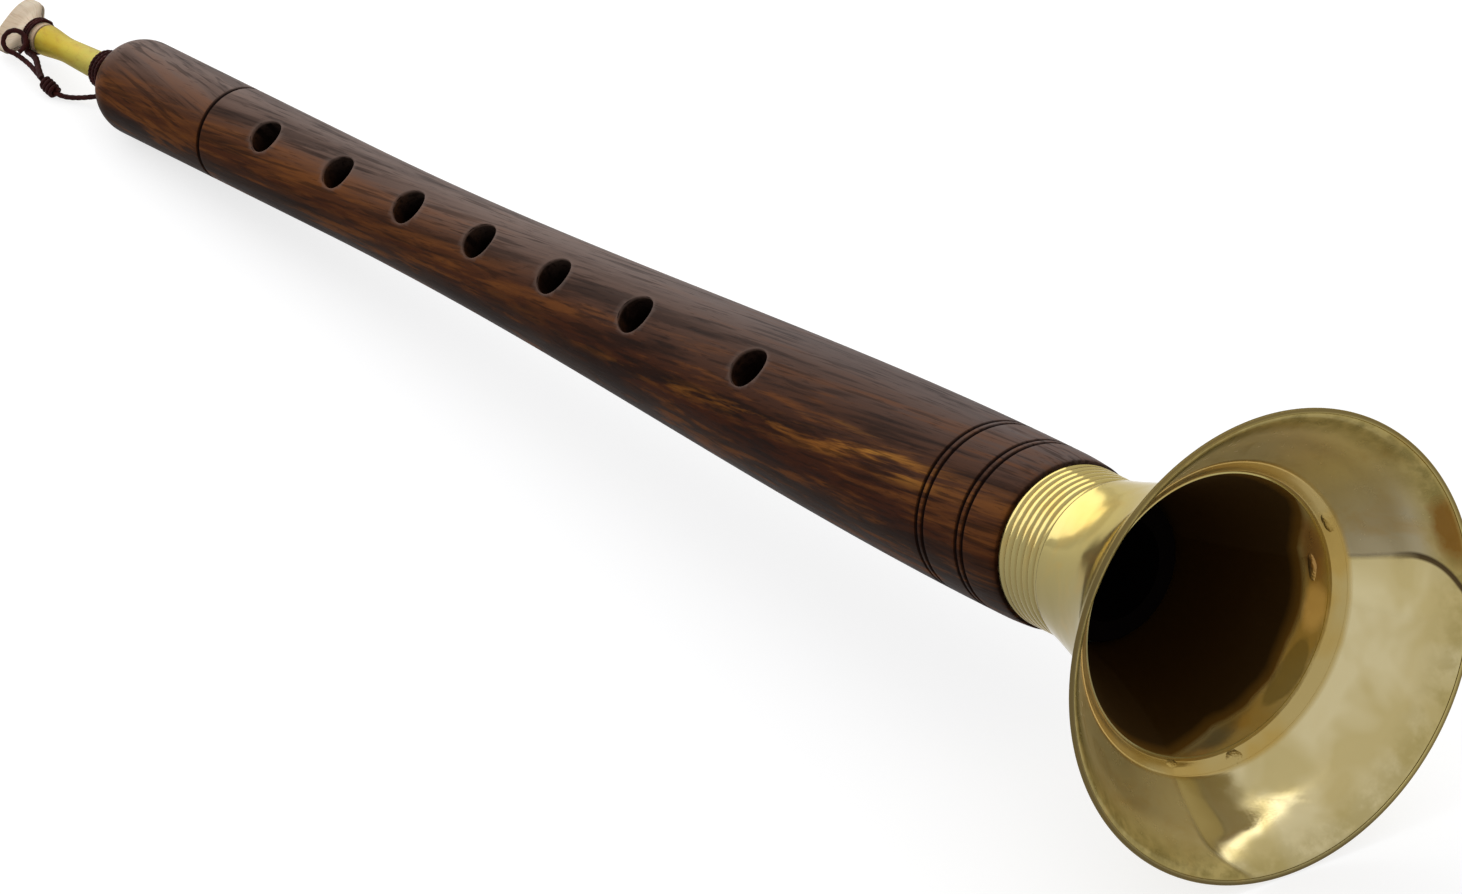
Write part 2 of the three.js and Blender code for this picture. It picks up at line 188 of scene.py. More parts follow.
# A material's nodes, round its Principled shader
class Shade(Graph):
    def __init__(self, name):
        self.material = bpy.data.materials.new(name)
        self.material.use_nodes = True
        super().__init__(self.material.node_tree)
        self.shader = self.tree.nodes["Principled BSDF"]

    # Object coordinates are the row's; these are the instrument's own, turned about Z and then stretched
    def inPipeFrame(self, stretch=(1, 1, 1), turn=0.0):
        toPipe = Matrix.Rotation(turn, 4, "Z") @ rowToPipe
        place = self.out("ShaderNodeMapping", {
            "Vector": self.out("ShaderNodeTexCoord", output="Object"),
            "Location": toPipe.translation, "Rotation": toPipe.to_euler("XYZ")})
        return self.out("ShaderNodeMapping", {"Vector": place, "Scale": stretch})

    def fromUv(self, stretch=(1, 1, 1)):
        uv = self.out("ShaderNodeTexCoord", output="UV")
        return self.out("ShaderNodeMapping", {"Vector": uv, "Scale": stretch})

    def noise(self, vector, scale, detail, roughness, distortion=0.0):
        return self.out("ShaderNodeTexNoise", {
            "Vector": vector, "Scale": scale, "Detail": detail, "Roughness": roughness,
            "Distortion": distortion}, "Fac")

    def ramp(self, factor, stops):
        node = self.add("ShaderNodeValToRGB", {"Fac": factor})
        elements = node.color_ramp.elements
        while len(elements) < len(stops):
            elements.new(0.5)
        for element, (place, colour) in zip(elements, stops):
            element.position = place
            element.color = (*colour, 1)
        return Signal(self, node.outputs["Color"])

    def mix(self, factor, a, b):
        return self.out("ShaderNodeMix", {"Factor": factor, 6: a, 7: b}, 2, data_type="RGBA")

    def attribute(self, name):
        return self.out("ShaderNodeAttribute", output="Fac", attribute_name=name)

    def bump(self, height, distance, strength, *under):
        sources = {"Strength": strength, "Distance": distance, "Height": height}
        return self.out("ShaderNodeBump", {**sources, **{"Normal": normal for normal in under}})

    def finish(self, colour, roughness, **sockets):
        for socket, value in {"Base Color": colour, "Roughness": roughness, **sockets}.items():
            self.fill(self.shader.inputs[socket.replace("_", " ")], value)
        return self.material


# Spun brass of the bell: pale gold where bare, olive where tarnished at the sides and above, and brown to black
# inside the neck. The pale lower part holds a painted reflection of a bright surface with a painted dark horizon at
# its edge. The upper half is painted paler as painted light, the outside is painted darker below as painted shade,
# and the neck's dark is tarnish with painted shade
bellBrass = {
    "gold": (0.46, 0.375, 0.17),
    "pale": (0.56, 0.48, 0.27),
    "olive": (0.54, 0.42, 0.15),
    "stone": (0.48, 0.41, 0.255),
    "warm": (0.44, 0.28, 0.07),
    "band": (0.44, 0.3, 0.085),
    "bandShade": (0.2, 0.15, 0.045),
    "pipeReflection": (0.34, 0.155, 0.05),
    "outside": (0.42, 0.345, 0.135),
    "shadedUnderside": (0.29, 0.24, 0.1),
    "stain": (0.26, 0.2, 0.055),
    "rimBrown": (0.23, 0.1, 0.008),
    "paintedUpperLight": (0.86, 0.68, 0.32),
    "paintedGoldLight": (0.78, 0.53, 0.19),
    "horizonReflectionDark": (0.07, 0.045, 0.018),
    "lineDarkTint": (0.26, 0.17, 0.05),
    "neckBrownTarnishShade": (0.16, 0.075, 0.01),
    "neckBlackTarnishShade": (0.03, 0.0125, 0.0012),
    "rimDark": (0.1, 0.065, 0.02),
    # Noises: scale, detail, roughness and distortion
    "cloud": (38.0, 3.0, 0.5, 0.6),
    "broad": (75.0, 2.0, 0.5, 0.4),
    "mottle": (260.0, 5.0, 0.62),
    "warmCloud": (64.0, 4.0, 0.6, 1.2),
    "dents": (26.0, 3.0, 0.55),
    "spun": (1.0, 3.0, 0.6),
    "spunStretch": (1.5, 420.0, 1.0),
    # Angles round the bore run from the finger holes past +X, and depths from the mouth in millimetres
    "cleanReflectionMiddle": math.radians(181),
    "cleanReflectionEdge": 0.515,
    "cleanReflectionSoftness": 0.008,
    "bandStart": (18.1, 18.9),
    "neckMiddle": math.radians(165),
    "neckStart": (20.8, 25.6),
    "neckRagged": 4.0,
    # Marks: angle and its half width in degrees, depth and its half width, softness and grain
    "rimMark": (114, 12, 1.4, 3.2, 0.8, 1.6),
    "bandMarks": [("pipeReflection", 0.6, (118, 22, 23.6, 2.4, 0.8, 1.2)),
                  ("bandShade", 0.65, (173, 17, 23.8, 2.2, 0.3, 0.6)),
                  ("paintedGoldLight", 0.8, (143, 12, 23.6, 2.6, 0.7, 1.0))],
    "knocks": [(106, 4.6, 19.7, 0.7), (127, 6.5, 24.2, 0.8), (213, 3.2, 19.9, 0.9), (241, 2.6, 20.4, 0.6)],
    "knockEdge": (1.0, 2.6),
    # How much of each place is bare metal
    "bare": {"outside": 0.95, "shadedUnderside": 0.6, "cleanAndReflected": 0.88, "tarnished": 0.4, "upper": 0.3, "band": 0.66},
}


def makeBellBrass():
    shade = Shade("polishedBellBrass")
    brass, bare = bellBrass, bellBrass["bare"]
    place = shade.inPipeFrame()
    cloud, broad, mottle, warmCloud, dents = (
        shade.noise(place, *brass[name]) for name in ("cloud", "broad", "mottle", "warmCloud", "dents"))
    x, _, z = shade.axes(place)
    depth = shade.attribute("depth")
    within = depth.rise(0.2, 0.8)
    around = (x * -1.0).calc("ARCTAN2", z * -1.0) + math.pi

    def spot(angle, halfAngle, middle, halfDepth, soft, grain):
        offAngle = (around - math.radians(angle)) / math.radians(halfAngle)
        offDepth = (depth - middle) / halfDepth
        reach = offAngle * offAngle + offDepth * offDepth + (mottle - 0.5) * grain
        return reach.rise(1.0, 1.0 - soft)

    # Inside the mouth, the lower third is bare metal with a painted reflection of a bright surface, up to a thin dark
    # line that is a painted reflection of the horizon; the rest is tarnished
    lowerSide = (around - brass["cleanReflectionMiddle"]).calc("COSINE")
    nearRim = depth.rise(9.0, 0.0)
    ragged = lowerSide + (cloud - 0.5) * 0.06 - nearRim * nearRim * 0.17
    cleanAndReflected = ragged.rise(brass["cleanReflectionEdge"] - brass["cleanReflectionSoftness"], brass["cleanReflectionEdge"] + brass["cleanReflectionSoftness"])
    stoneZone = (lowerSide + (cloud - 0.5) * 0.6).rise(-0.2, 0.35) * depth.rise(2.5, 7.0)
    tarnish = shade.mix(stoneZone * x.rise(-0.01, 0.015, 0.35, 1.0), brass["olive"], brass["stone"])
    dish = shade.mix(cleanAndReflected, tarnish, shade.mix(broad.rise(0.4, 0.6), brass["gold"], brass["pale"]))
    # The upper half of the mouth is painted paler, as painted light over its tarnish
    upperSide = lowerSide.rise(0.05, -0.6) * depth.rise(2.5, 6.0)
    dish = shade.mix(upperSide * 0.8, dish, brass["paintedUpperLight"])
    # Outside, the underside is painted darker and less bare, as painted shade
    shadedUnderside = x.rise(0.002, -0.016)
    colour = shade.mix(within, shade.mix(shadedUnderside, brass["outside"], brass["shadedUnderside"]), dish)
    # Over both sides: warm clouds, a green-brown stain and one brown mark before the rim, and the painted horizon
    # reflection along the edge of the bare lower part
    rimStain = depth.rise(6.5, 1.5) * mottle.rise(0.38, 0.58, 0.3, 1.0) * cleanAndReflected.rise(0.0, 1.0, 0.9, 0.5)
    rimMark = spot(*brass["rimMark"]) * (0.9 - cleanAndReflected).clamped()
    horizonReflectionLine = (ragged - brass["cleanReflectionEdge"]).calc("ABSOLUTE").rise(0.021, 0.009)
    for share, tint in (
        (warmCloud.rise(0.5, 0.72, 0.0, 0.55) * (1.1 - cleanAndReflected).clamped(), "warm"),
        (rimStain * within, "stain"),
        (rimMark * within, "rimBrown"),
        (horizonReflectionLine * (depth.rise(12.0, 7.0, 0.3, 1.0) * x.rise(-0.01, 0.01, 0.3, 1.0)) * within, "horizonReflectionDark"),
    ):
        colour = shade.mix(share, colour, brass[tint])
    # The band between the crease and the neck: a coppery patch that is a painted reflection of the pipe, a darker
    # patch of painted shade, a golden patch of painted light, and a golden upper side that is a painted highlight
    onBand = depth.rise(*brass["bandStart"])
    band = shade.mix(broad.rise(0.42, 0.62, 0.0, 0.6), brass["band"], brass["gold"])
    for tint, share, mark in brass["bandMarks"]:
        band = shade.mix(spot(*mark) * share, band, brass[tint])
    band = shade.mix(lowerSide.rise(0.25, -0.3) * x.rise(0.005, -0.01, 0.3, 0.75), band, brass["paintedGoldLight"])
    colour = shade.mix(onBand, colour, band)
    # Tarnish and painted shade turn the neck brown and then black; the brown starts deeper below than at the sides
    # and above
    neckSide = (around - brass["neckMiddle"]).calc("COSINE")
    intoNeck = depth - (neckSide.rise(0.26, 0.68, *brass["neckStart"]) + (cloud - 0.5) * brass["neckRagged"])
    for share, tint in (
        (intoNeck.rise(0.0, 1.0), "neckBrownTarnishShade"), (intoNeck.rise(0.8, 3.2), "neckBlackTarnishShade"),
        (shade.attribute("lineDarkening"), "lineDarkTint"), (shade.attribute("edge"), "rimDark"),
    ):
        colour = shade.mix(share, colour, brass[tint])
    # Spinning lines, dents, mottle and small knocks where the band meets the neck
    normal = shade.bump(shade.noise(shade.fromUv(brass["spunStretch"]), *brass["spun"]), 0.00004, 0.1)
    normal = shade.bump(dents, 0.0015, 0.36, normal)
    normal = shade.bump(mottle, 0.0001, 0.05, normal)
    for mark in brass["knocks"]:
        normal = shade.bump(spot(*mark, *brass["knockEdge"]), 0.0005, 0.7, normal)
    rough = (mottle.rise(0.3, 0.75, 0.08, 0.14) + intoNeck.rise(-1.0, 2.0, 0.0, 0.35)
             + within * cleanAndReflected.rise(0.0, 1.0, 0.15, 0.0))
    metal = shade.mix(cleanAndReflected, bare["tarnished"], bare["cleanAndReflected"])
    metal = shade.mix(upperSide, metal, bare["upper"])
    metal = shade.mix(onBand, metal, bare["band"])
    metal = shade.mix(within, shade.mix(shadedUnderside, bare["outside"], bare["shadedUnderside"]), metal)
    metal = metal * intoNeck.rise(-0.5, 2.0, 1.0, 0.2)
    return shade.finish(colour, rough, Normal=normal, Metallic=metal, Specular_Tint=(0.8, 0.72, 0.5),
                        Specular_IOR_Level=0.25)


# Yellow brass of the staple, satin and a little green at the foot
stapleBrass = {
    "yellow": (0.38, 0.265, 0.018),
    "pale": (0.4, 0.32, 0.035),
    "brown": (0.28, 0.15, 0.025),
    "green": (0.3, 0.31, 0.09),
    "greenStations": (0.404, 0.392),
}


def makeStapleBrass():
    shade = Shade("satinStapleBrass")
    place = shade.inPipeFrame((1.0, 0.45, 1.0))
    cloud = shade.noise(place, 420.0, 4.0, 0.6, 0.8)
    stain = shade.noise(place, 900.0, 5.0, 0.65, 1.0)
    station = shade.axes(shade.inPipeFrame())[1]
    colour = shade.mix(cloud.rise(0.4, 0.66), stapleBrass["yellow"], stapleBrass["pale"])
    colour = shade.mix(station.rise(*stapleBrass["greenStations"], 0.0, 0.6), colour, stapleBrass["green"])
    colour = shade.mix(stain.rise(0.52, 0.74, 0.0, 0.7), colour, stapleBrass["brown"])
    scratches = shade.noise(shade.fromUv((0.6, 90.0, 1.0)), 1.0, 4.0, 0.7)
    return shade.finish(colour, cloud.rise(0.3, 0.7, 0.52, 0.62), Normal=shade.bump(scratches, 0.00005, 0.5),
                        Metallic=0.75, Specular_IOR_Level=0.3)


# Oiled rosewood: dark red brown with orange streaks along the grain; the upper side is greyer as painted sheen and
# the underside darker as painted shade
rosewood = {
    "deep": (0.011, 0.004, 0.0022),
    "under": (0.029, 0.0135, 0.0075),
    "red": (0.048, 0.0125, 0.0045),
    "brown": (0.068, 0.0275, 0.0145),
    "sheenMauve": (0.1, 0.058, 0.043),
    "sheenViolet": (0.125, 0.088, 0.076),
    "orange": (0.18, 0.06, 0.015),
    "topSheen": (0.25, 0.18, 0.15),
    "amber": (0.33, 0.12, 0.02),
    "bright": (0.42, 0.18, 0.03),
    # Inside the holes and bore: charred dark, with the holes' shade painted in
    "charredAndShaded": (0.003, 0.0018, 0.0014),
    "grooveLine": (0.006, 0.0025, 0.002),
    "worn": (0.17, 0.12, 0.1),
    # Tone by the side of the pipe, in shares of a turn from the underside past the holes and back; the greyish tones
    # above are painted sheen and the darkest tones below are painted shade
    "sides": [(0.02, "red"), (0.24, "under"), (0.31, "under"), (0.375, "red"), (0.49, "brown"), (0.575, "sheenMauve"),
              (0.63, "sheenViolet"), (0.72, "sheenViolet"), (0.82, "under"), (0.98, "red")],
    # The grain's stretch along the pipe and its lean, on the body, in the streaks, in the pores and in the head
    "body": ((1.0, 0.035, 1.0), math.radians(-5.0)),
    "streaks": ((1.0, 0.022, 1.0), math.radians(-7.0)),
    "pores": ((1.0, 0.07, 1.0), math.radians(-5.0)),
    "head": ((1.0, 0.045, 1.0), math.radians(9.0)),
    "headStart": (0.3462, 0.3474),
    # Noises: scale, detail, roughness and distortion
    "layers": (230.0, 2.0, 0.55, 0.45),
    "fibre": (820.0, 4.0, 0.6, 0.2),
    "patches": (80.0, 2.0, 0.5, 0.3),
    "lines": (1150.0, 2.0, 0.5, 0.15),
    "streakNoise": (520.0, 4.0, 0.6, 0.25),
    "poreNoise": (2600.0, 2.0, 0.5),
}


def makeRosewood():
    shade, wood = Shade("oiledRosewood"), rosewood
    x, station, z = shade.axes(shade.inPipeFrame())
    # The grain leans one way along the body and the other way in the head, beyond the turned line
    grain = shade.mix(
        station.rise(*wood["headStart"]), shade.inPipeFrame(*wood["body"]), shade.inPipeFrame(*wood["head"]))
    layers, fibre, patches, lines = (
        shade.noise(grain, *wood[name]) for name in ("layers", "fibre", "patches", "lines"))
    streakNoise = shade.noise(shade.inPipeFrame(*wood["streaks"]), *wood["streakNoise"]).rise(0.46, 0.62)
    pores = shade.noise(shade.inPipeFrame(*wood["pores"]), *wood["poreNoise"]).rise(0.6, 0.68)
    inside = shade.attribute("inside")
    around = x.calc("ARCTAN2", z)

    # 1 on a line along the pipe, falling to 0 at a width beside it
    def beside(angle, width):
        return (1.0 - (around - angle).calc("ABSOLUTE") / width).clamped()

    side = around / fullTurn + 0.5 + (patches - 0.5) * 0.07
    colour = shade.ramp(side, [(place, wood[tint]) for place, tint in wood["sides"]])
    upper = around.rise(math.radians(-5), math.radians(35), 1.0, 0.3)
    tone = layers * 0.6 + fibre * 0.4
    # A paler patch along the top towards the bell is painted sheen
    topSheen = station.rise(0.15, 0.24) * around.rise(math.radians(-22), math.radians(40), 0.0, 0.5)
    # Lighter heartwood: a band that starts beside the last hole and slants away from it, with a bright core
    heart = beside(station.rise(0.085, 0.2, math.radians(-11), math.radians(-46)),
                   station.rise(0.07, 0.2, math.radians(17), math.radians(8)))
    lengthwise = station.rise(0.22, 0.13, 0.12, 1.0) * station.rise(0.075, 0.1, 0.45, 1.0)
    core = beside(math.radians(-16), math.radians(11)) * (station.rise(0.086, 0.098) * station.rise(0.14, 0.128))
    # Warmer wood towards the bell and beside the upper holes
    ends = (station.rise(0.2, 0.26) + station.rise(0.1, 0.08)).clamped()
    warm = beside(math.radians(-26), math.radians(36)) * ends * streakNoise.rise(0.0, 1.0, 0.25, 1.0)
    for share, tint in (
        (tone.rise(0.53, 0.62, 0.0, 0.7) * upper, "orange"),
        (tone.rise(0.49, 0.41, 0.0, 0.75) * upper, "deep"),
        (topSheen * tone.rise(0.4, 0.55, 0.3, 1.0), "topSheen"),
        ((heart * streakNoise * lengthwise * 0.95).clamped(), "amber"),
        (core * streakNoise.rise(0.4, 1.0, 0.0, 0.9), "bright"),
        (warm * 0.75, "orange"),
        (lines.rise(0.54, 0.64, 0.0, 0.55), "deep"),
        (pores * 0.35, "deep"),
        (shade.attribute("worn"), "worn"),
        (shade.attribute("groove"), "grooveLine"),
        (inside, "charredAndShaded"),
    ):
        colour = shade.mix(share, colour, wood[tint])
    normal = shade.bump(fibre - pores * 0.8, 0.00012, 0.3)
    rough = (fibre.rise(0.3, 0.7, 0.42, 0.54) + inside * 0.4).clamped()
    return shade.finish(colour, rough, Normal=normal, Specular_IOR_Level=0.02)


# Dry cane of the reed, with fibres from root to tip
cane = {
    "cream": (0.55, 0.42, 0.28),
    "pale": (0.63, 0.52, 0.38),
    "fibre": (0.38, 0.25, 0.15),
    "bark": (0.5, 0.33, 0.19),
}


def makeCane():
    shade = Shade("dryCane")
    fibre = shade.noise(shade.fromUv((42.0, 1.6, 1.0)), 1.0, 4.0, 0.6, 0.1)
    cloud = shade.noise(shade.fromUv((2.5, 1.8, 1.0)), 1.0, 3.0, 0.5)
    along = shade.axes(shade.fromUv())[1]
    colour = shade.mix(cloud.rise(0.35, 0.65), cane["cream"], cane["pale"])
    colour = shade.mix(fibre.rise(0.5, 0.72, 0.0, 0.75), colour, cane["fibre"])
    colour = shade.mix(along.rise(0.35, 0.1, 0.0, 0.6), colour, cane["bark"])
    return shade.finish(colour, fibre.rise(0.3, 0.7, 0.5, 0.68), Normal=shade.bump(fibre, 0.00006, 0.6),
                        Subsurface_Weight=0.08, Subsurface_Scale=0.0006, Specular_IOR_Level=0.3)


# Waxed twisted thread, dark red round the reed and nearly black green in the lapping: base, dark and light
threads = {
    "red": ((0.042, 0.0065, 0.0055), (0.012, 0.0025, 0.002), (0.085, 0.014, 0.011)),
    "green": ((0.02, 0.026, 0.016), (0.006, 0.008, 0.006), (0.045, 0.05, 0.03)),
}


def makeThread(name, colours):
    base, dark, light = colours
    shade = Shade(name)
    place = shade.inPipeFrame()
    fuzz = shade.noise(place, 5200.0, 4.0, 0.7)
    wear = shade.noise(place, 420.0, 3.0, 0.6)
    colour = shade.mix(fuzz.rise(0.35, 0.62), dark, base)
    colour = shade.mix(wear.rise(0.5, 0.72, 0.0, 0.6), colour, light)
    return shade.finish(colour, fuzz.rise(0.3, 0.7, 0.5, 0.75), Normal=shade.bump(fuzz, 0.00006, 0.7),
                        Specular_IOR_Level=0.1)


materials = {
    "bell_brass": makeBellBrass(),
    "rosewood": makeRosewood(),
    "staple_brass": makeStapleBrass(),
    "cane": makeCane(),
    "dark_thread": makeThread("redWaxedThread", threads["red"]),
    "lapping_thread": makeThread("greenWaxedThread", threads["green"]),
}
print("materials made:", len(materials))


# A Geometry Nodes tree with named inputs, which ends in Realize Instances and Set Material
class MakingTree(Graph):
    def __init__(self, name, inputs):
        super().__init__(bpy.data.node_groups.new(name, "GeometryNodeTree"))
        sockets = self.tree.interface
        sockets.new_socket(name="Geometry", in_out="INPUT", socket_type="NodeSocketGeometry")
        for socketName, value in inputs.items():
            kind = "NodeSocketInt" if isinstance(value, int) else "NodeSocketFloat"
            sockets.new_socket(name=socketName, in_out="INPUT", socket_type=kind).default_value = value
        sockets.new_socket(name="Material", in_out="INPUT", socket_type="NodeSocketMaterial")
        sockets.new_socket(name="Geometry", in_out="OUTPUT", socket_type="NodeSocketGeometry")
        self.start = self.tree.nodes.new("NodeGroupInput")

    def given(self, *names):
        return [Signal(self, self.start.outputs[name]) for name in names]

    def close(self, geometry):
        smooth = self.out("GeometryNodeSetShadeSmooth", {"Geometry": geometry})
        real = self.out("GeometryNodeRealizeInstances", {"Geometry": smooth})
        done = self.out("GeometryNodeSetMaterial", {"Geometry": real, "Material": self.given("Material")[0]})
        self.add("NodeGroupOutput", {0: done})
        return self.tree


# What the modifiers make becomes the object's plain mesh
def plainMesh(obj):
    graph = bpy.context.evaluated_depsgraph_get()
    mesh = bpy.data.meshes.new_from_object(obj.evaluated_get(graph), depsgraph=graph)
    obj.modifiers.clear()
    obj.data = mesh
    return mesh


def runTree(obj, tree, values):
    modifier = obj.modifiers.new(tree.name, "NODES")
    modifier.node_group = tree
    for item in tree.interface.items_tree:
        if item.in_out == "INPUT" and item.name in values:
            modifier[item.identifier] = values[item.name]
    return plainMesh(obj)


# What a profile's points carry to the material: depth in the mouth, darkening in the sleeve's lines, dark edges,
# grooves, bores and worn wood
marks = ("depth", "lineDarkening", "edge", "groove", "inside", "worn")


# A lathe: each point of the profile, kept as (radius, station), goes once round the bore's axis
def makeLatheTree():
    tree = MakingTree("latheTurning", {"Segments": 192, "Profile Points": 2})
    profile, segments, points = tree.given("Geometry", "Segments", "Profile Points")
    grid = tree.out("GeometryNodeMeshGrid", {"Vertices X": segments + 1.0, "Vertices Y": points}, "Mesh")
    index = tree.out("GeometryNodeInputIndex")
    row = index.calc("MODULO", points)
    turn = (index / points).calc("FLOOR") / segments
    angle = turn * fullTurn

    def sampled(kind, value):
        return tree.out("GeometryNodeSampleIndex", {
            "Geometry": profile, "Value": value, "Index": row}, data_type=kind)

    radius, station, _ = tree.axes(sampled("FLOAT_VECTOR", tree.out("GeometryNodeInputPosition")))
    place = tree.out("ShaderNodeCombineXYZ", {
        "X": angle.calc("COSINE") * radius, "Y": station, "Z": angle.calc("SINE") * radius})
    geometry = tree.out("GeometryNodeSetPosition", {"Geometry": grid, "Position": place})
    for name in (*marks, "run"):
        value = sampled("FLOAT", tree.out("GeometryNodeInputNamedAttribute", {"Name": name}, data_type="FLOAT"))
        geometry = tree.out("GeometryNodeStoreNamedAttribute", {
            "Geometry": geometry, "Name": name, "Value": value}, data_type="FLOAT", domain="POINT")
    # The run along the profile, which comes last, is also the second direction of the UV map
    geometry = tree.out("GeometryNodeStoreNamedAttribute", {
        "Geometry": geometry, "Name": "UVMap", "Value": tree.out("ShaderNodeCombineXYZ", {"X": turn, "Y": value})},
        data_type="FLOAT2", domain="CORNER")
    return tree.close(tree.out("GeometryNodeMergeByDistance", {"Geometry": geometry, "Distance": 1e-6}))


# A thread wound in a helix, its plies twisted round each other
def makeWindingTree():
    tree = MakingTree("threadWinding", {
        "Turns": 2.0, "Pitch": 0.001, "Radius": 0.003, "Thread Radius": 0.0005, "Lay": 0.002, "Plies": 3.0,
        "Ply Depth": 0.1, "Steps Per Turn": 72, "Sides": 12})
    turns, pitch, radius, threadRadius, lay, plies, plyDepth, steps, sides = tree.given(
        "Turns", "Pitch", "Radius", "Thread Radius", "Lay", "Plies", "Ply Depth", "Steps Per Turn", "Sides")
    helix = tree.out("GeometryNodeCurveSpiral", {
        "Resolution": steps, "Rotations": turns, "Start Radius": radius, "End Radius": radius,
        "Height": turns * pitch})
    along = tree.out("GeometryNodeSplineParameter", output="Length")
    twisted = tree.out("GeometryNodeSetCurveTilt", {"Curve": helix, "Tilt": along / lay * fullTurn})
    # The thread's own outline sinks between the plies
    ring = tree.out("GeometryNodeCurvePrimitiveCircle", {"Resolution": sides, "Radius": threadRadius})
    wave = (tree.out("GeometryNodeSplineParameter", output="Factor") * fullTurn * plies).calc("COSINE")
    scaled = tree.out("ShaderNodeVectorMath", {
        0: tree.out("GeometryNodeInputPosition"), "Scale": (wave - 1.0) * plyDepth + 1.0}, operation="SCALE")
    lobed = tree.out("GeometryNodeSetPosition", {"Geometry": ring, "Position": scaled})
    return tree.close(tree.out("GeometryNodeCurveToMesh", {
        "Curve": twisted, "Profile Curve": lobed, "Fill Caps": True}))


latheTree = makeLatheTree()
windingTree = makeWindingTree()


# Turns the faces outwards; with an angle, shades them smooth except at edges sharper than that
def faceOut(mesh, sharpAngle=None):
    work = bmesh.new()
    work.from_mesh(mesh)
    if work.calc_volume(signed=True) < 0:
        bmesh.ops.reverse_faces(work, faces=work.faces)
    if sharpAngle:
        for face in work.faces:
            face.smooth = True
        for edge in work.edges:
            edge.smooth = len(edge.link_faces) != 2 or edge.calc_face_angle(0.0) < sharpAngle
    work.to_mesh(mesh)
    work.free()


# A mesh whose points are given in the instrument's frame
def pipeFrameMesh(name, verts, faces, sharpAngle=None):
    mesh = bpy.data.meshes.new(name)
    mesh.from_pydata(verts, [], faces)
    mesh.transform(pipeToRow)
    faceOut(mesh, sharpAngle)
    return mesh


# Faces of a closed tube made of rings one after another, with a cap at each end
def tubeFaces(rings, sides, base=0):
    faces = []
    for start in range(base, base + (rings - 1) * sides, sides):
        for side in range(sides):
            a, b = start + side, start + (side + 1) % sides
            faces.append((a, b, b + sides, a + sides))
    top = base + (rings - 1) * sides
    return faces + [tuple(reversed(range(base, base + sides))), tuple(range(top, top + sides))]


def settle(obj, body, slotName, *nodes):
    if not obj.data.materials:
        obj.data.materials.append(materials[slotName])
    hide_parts(*nodes)
    if body:
        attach(obj, body)
    return obj


turnedEdge = math.radians(38)


# Profile points are (radius, station, {mark: amount}), in millimetres, and close on themselves
def turnedObject(name, profile, segments, slotName):
    loop = profile + [profile[0]]
    mesh = bpy.data.meshes.new(name)
    mesh.from_pydata([(radius * mm, station * mm, 0) for radius, station, _ in loop], [], [])
    run, runs = 0.0, []
    for before, here in zip([loop[0]] + loop[:-1], loop):
        run += math.hypot(here[0] - before[0], here[1] - before[1])
        runs.append(run)
    for mark in marks:
        values = mesh.attributes.new(mark, "FLOAT", "POINT")
        values.data.foreach_set("value", [amounts.get(mark, 0.0) for _, _, amounts in loop])
    mesh.attributes.new("run", "FLOAT", "POINT").data.foreach_set("value", [value / run for value in runs])
    obj = newObject(name, mesh)
    turned = runTree(obj, latheTree, {
        "Segments": segments, "Profile Points": len(loop), "Material": materials[slotName]})
    turned.transform(pipeToRow)
    faceOut(turned, turnedEdge)
    return obj


# A smooth line through control points
def smoothLine(points, perSpan):
    line = []
    for index in range(len(points) - 1):
        before = points[max(index - 1, 0)]
        start, end = points[index], points[index + 1]
        after = points[min(index + 2, len(points) - 1)]
        for step in range(perSpan):
            t = step / perSpan
            line.append(tuple(
                0.5 * (2 * b + (c - a) * t + (2 * a - 5 * b + 4 * c - d) * t * t + (3 * b - a - 3 * c + d) * t ** 3)
                for a, b, c, d in zip(before, start, end, after)))
    line.append(tuple(points[-1]))
    return line


# A place and those after it on the way to the next, at shares of the radius and of the station
def between(start, end, shares):
    return [start] + [(lerp(start[0], end[0], out), lerp(start[1], end[1], along)) for out, along in shares]


# Bell: a spun shell with turned lines on its sleeve and a fine bead round the mouth
bell = {
    "length": 67.1,
    "wall": 0.9,
    "mouthRadius": layout["mouthRadius"],
    "crease": (31.7, 18.6),
    "throat": (28.8, 21.0),
    "sleeveBore": 15.6,
    "sleeveLength": 9.0,
    "sleeveSteps": 6,
    "lineCount": 6,
    "linePitch": 1.9,
    "lineDepth": 0.16,
    "lineWidth": 0.5,
    "bead": 0.55,
    "beadSteps": 12,
    "beadTurn": 1.1 * math.pi,
    "outerStart": 1.6,
    "segments": 256,
    "pointsPerSpan": 7,
    # Shares of the radius and of the station on the way from sleeve to throat, to crease and to rim
    "flare": [(0.04, 0.1), (0.1, 0.2), (0.25, 0.4), (0.44, 0.6), (0.68, 0.8), (0.88, 0.93)],
    "band": [(0.1, 0.12), (0.42, 0.48), (0.78, 0.81)],
    "dish": [(0.211, 0.21), (0.369, 0.375), (0.558, 0.589), (0.763, 0.794), (0.921, 0.934)],
}


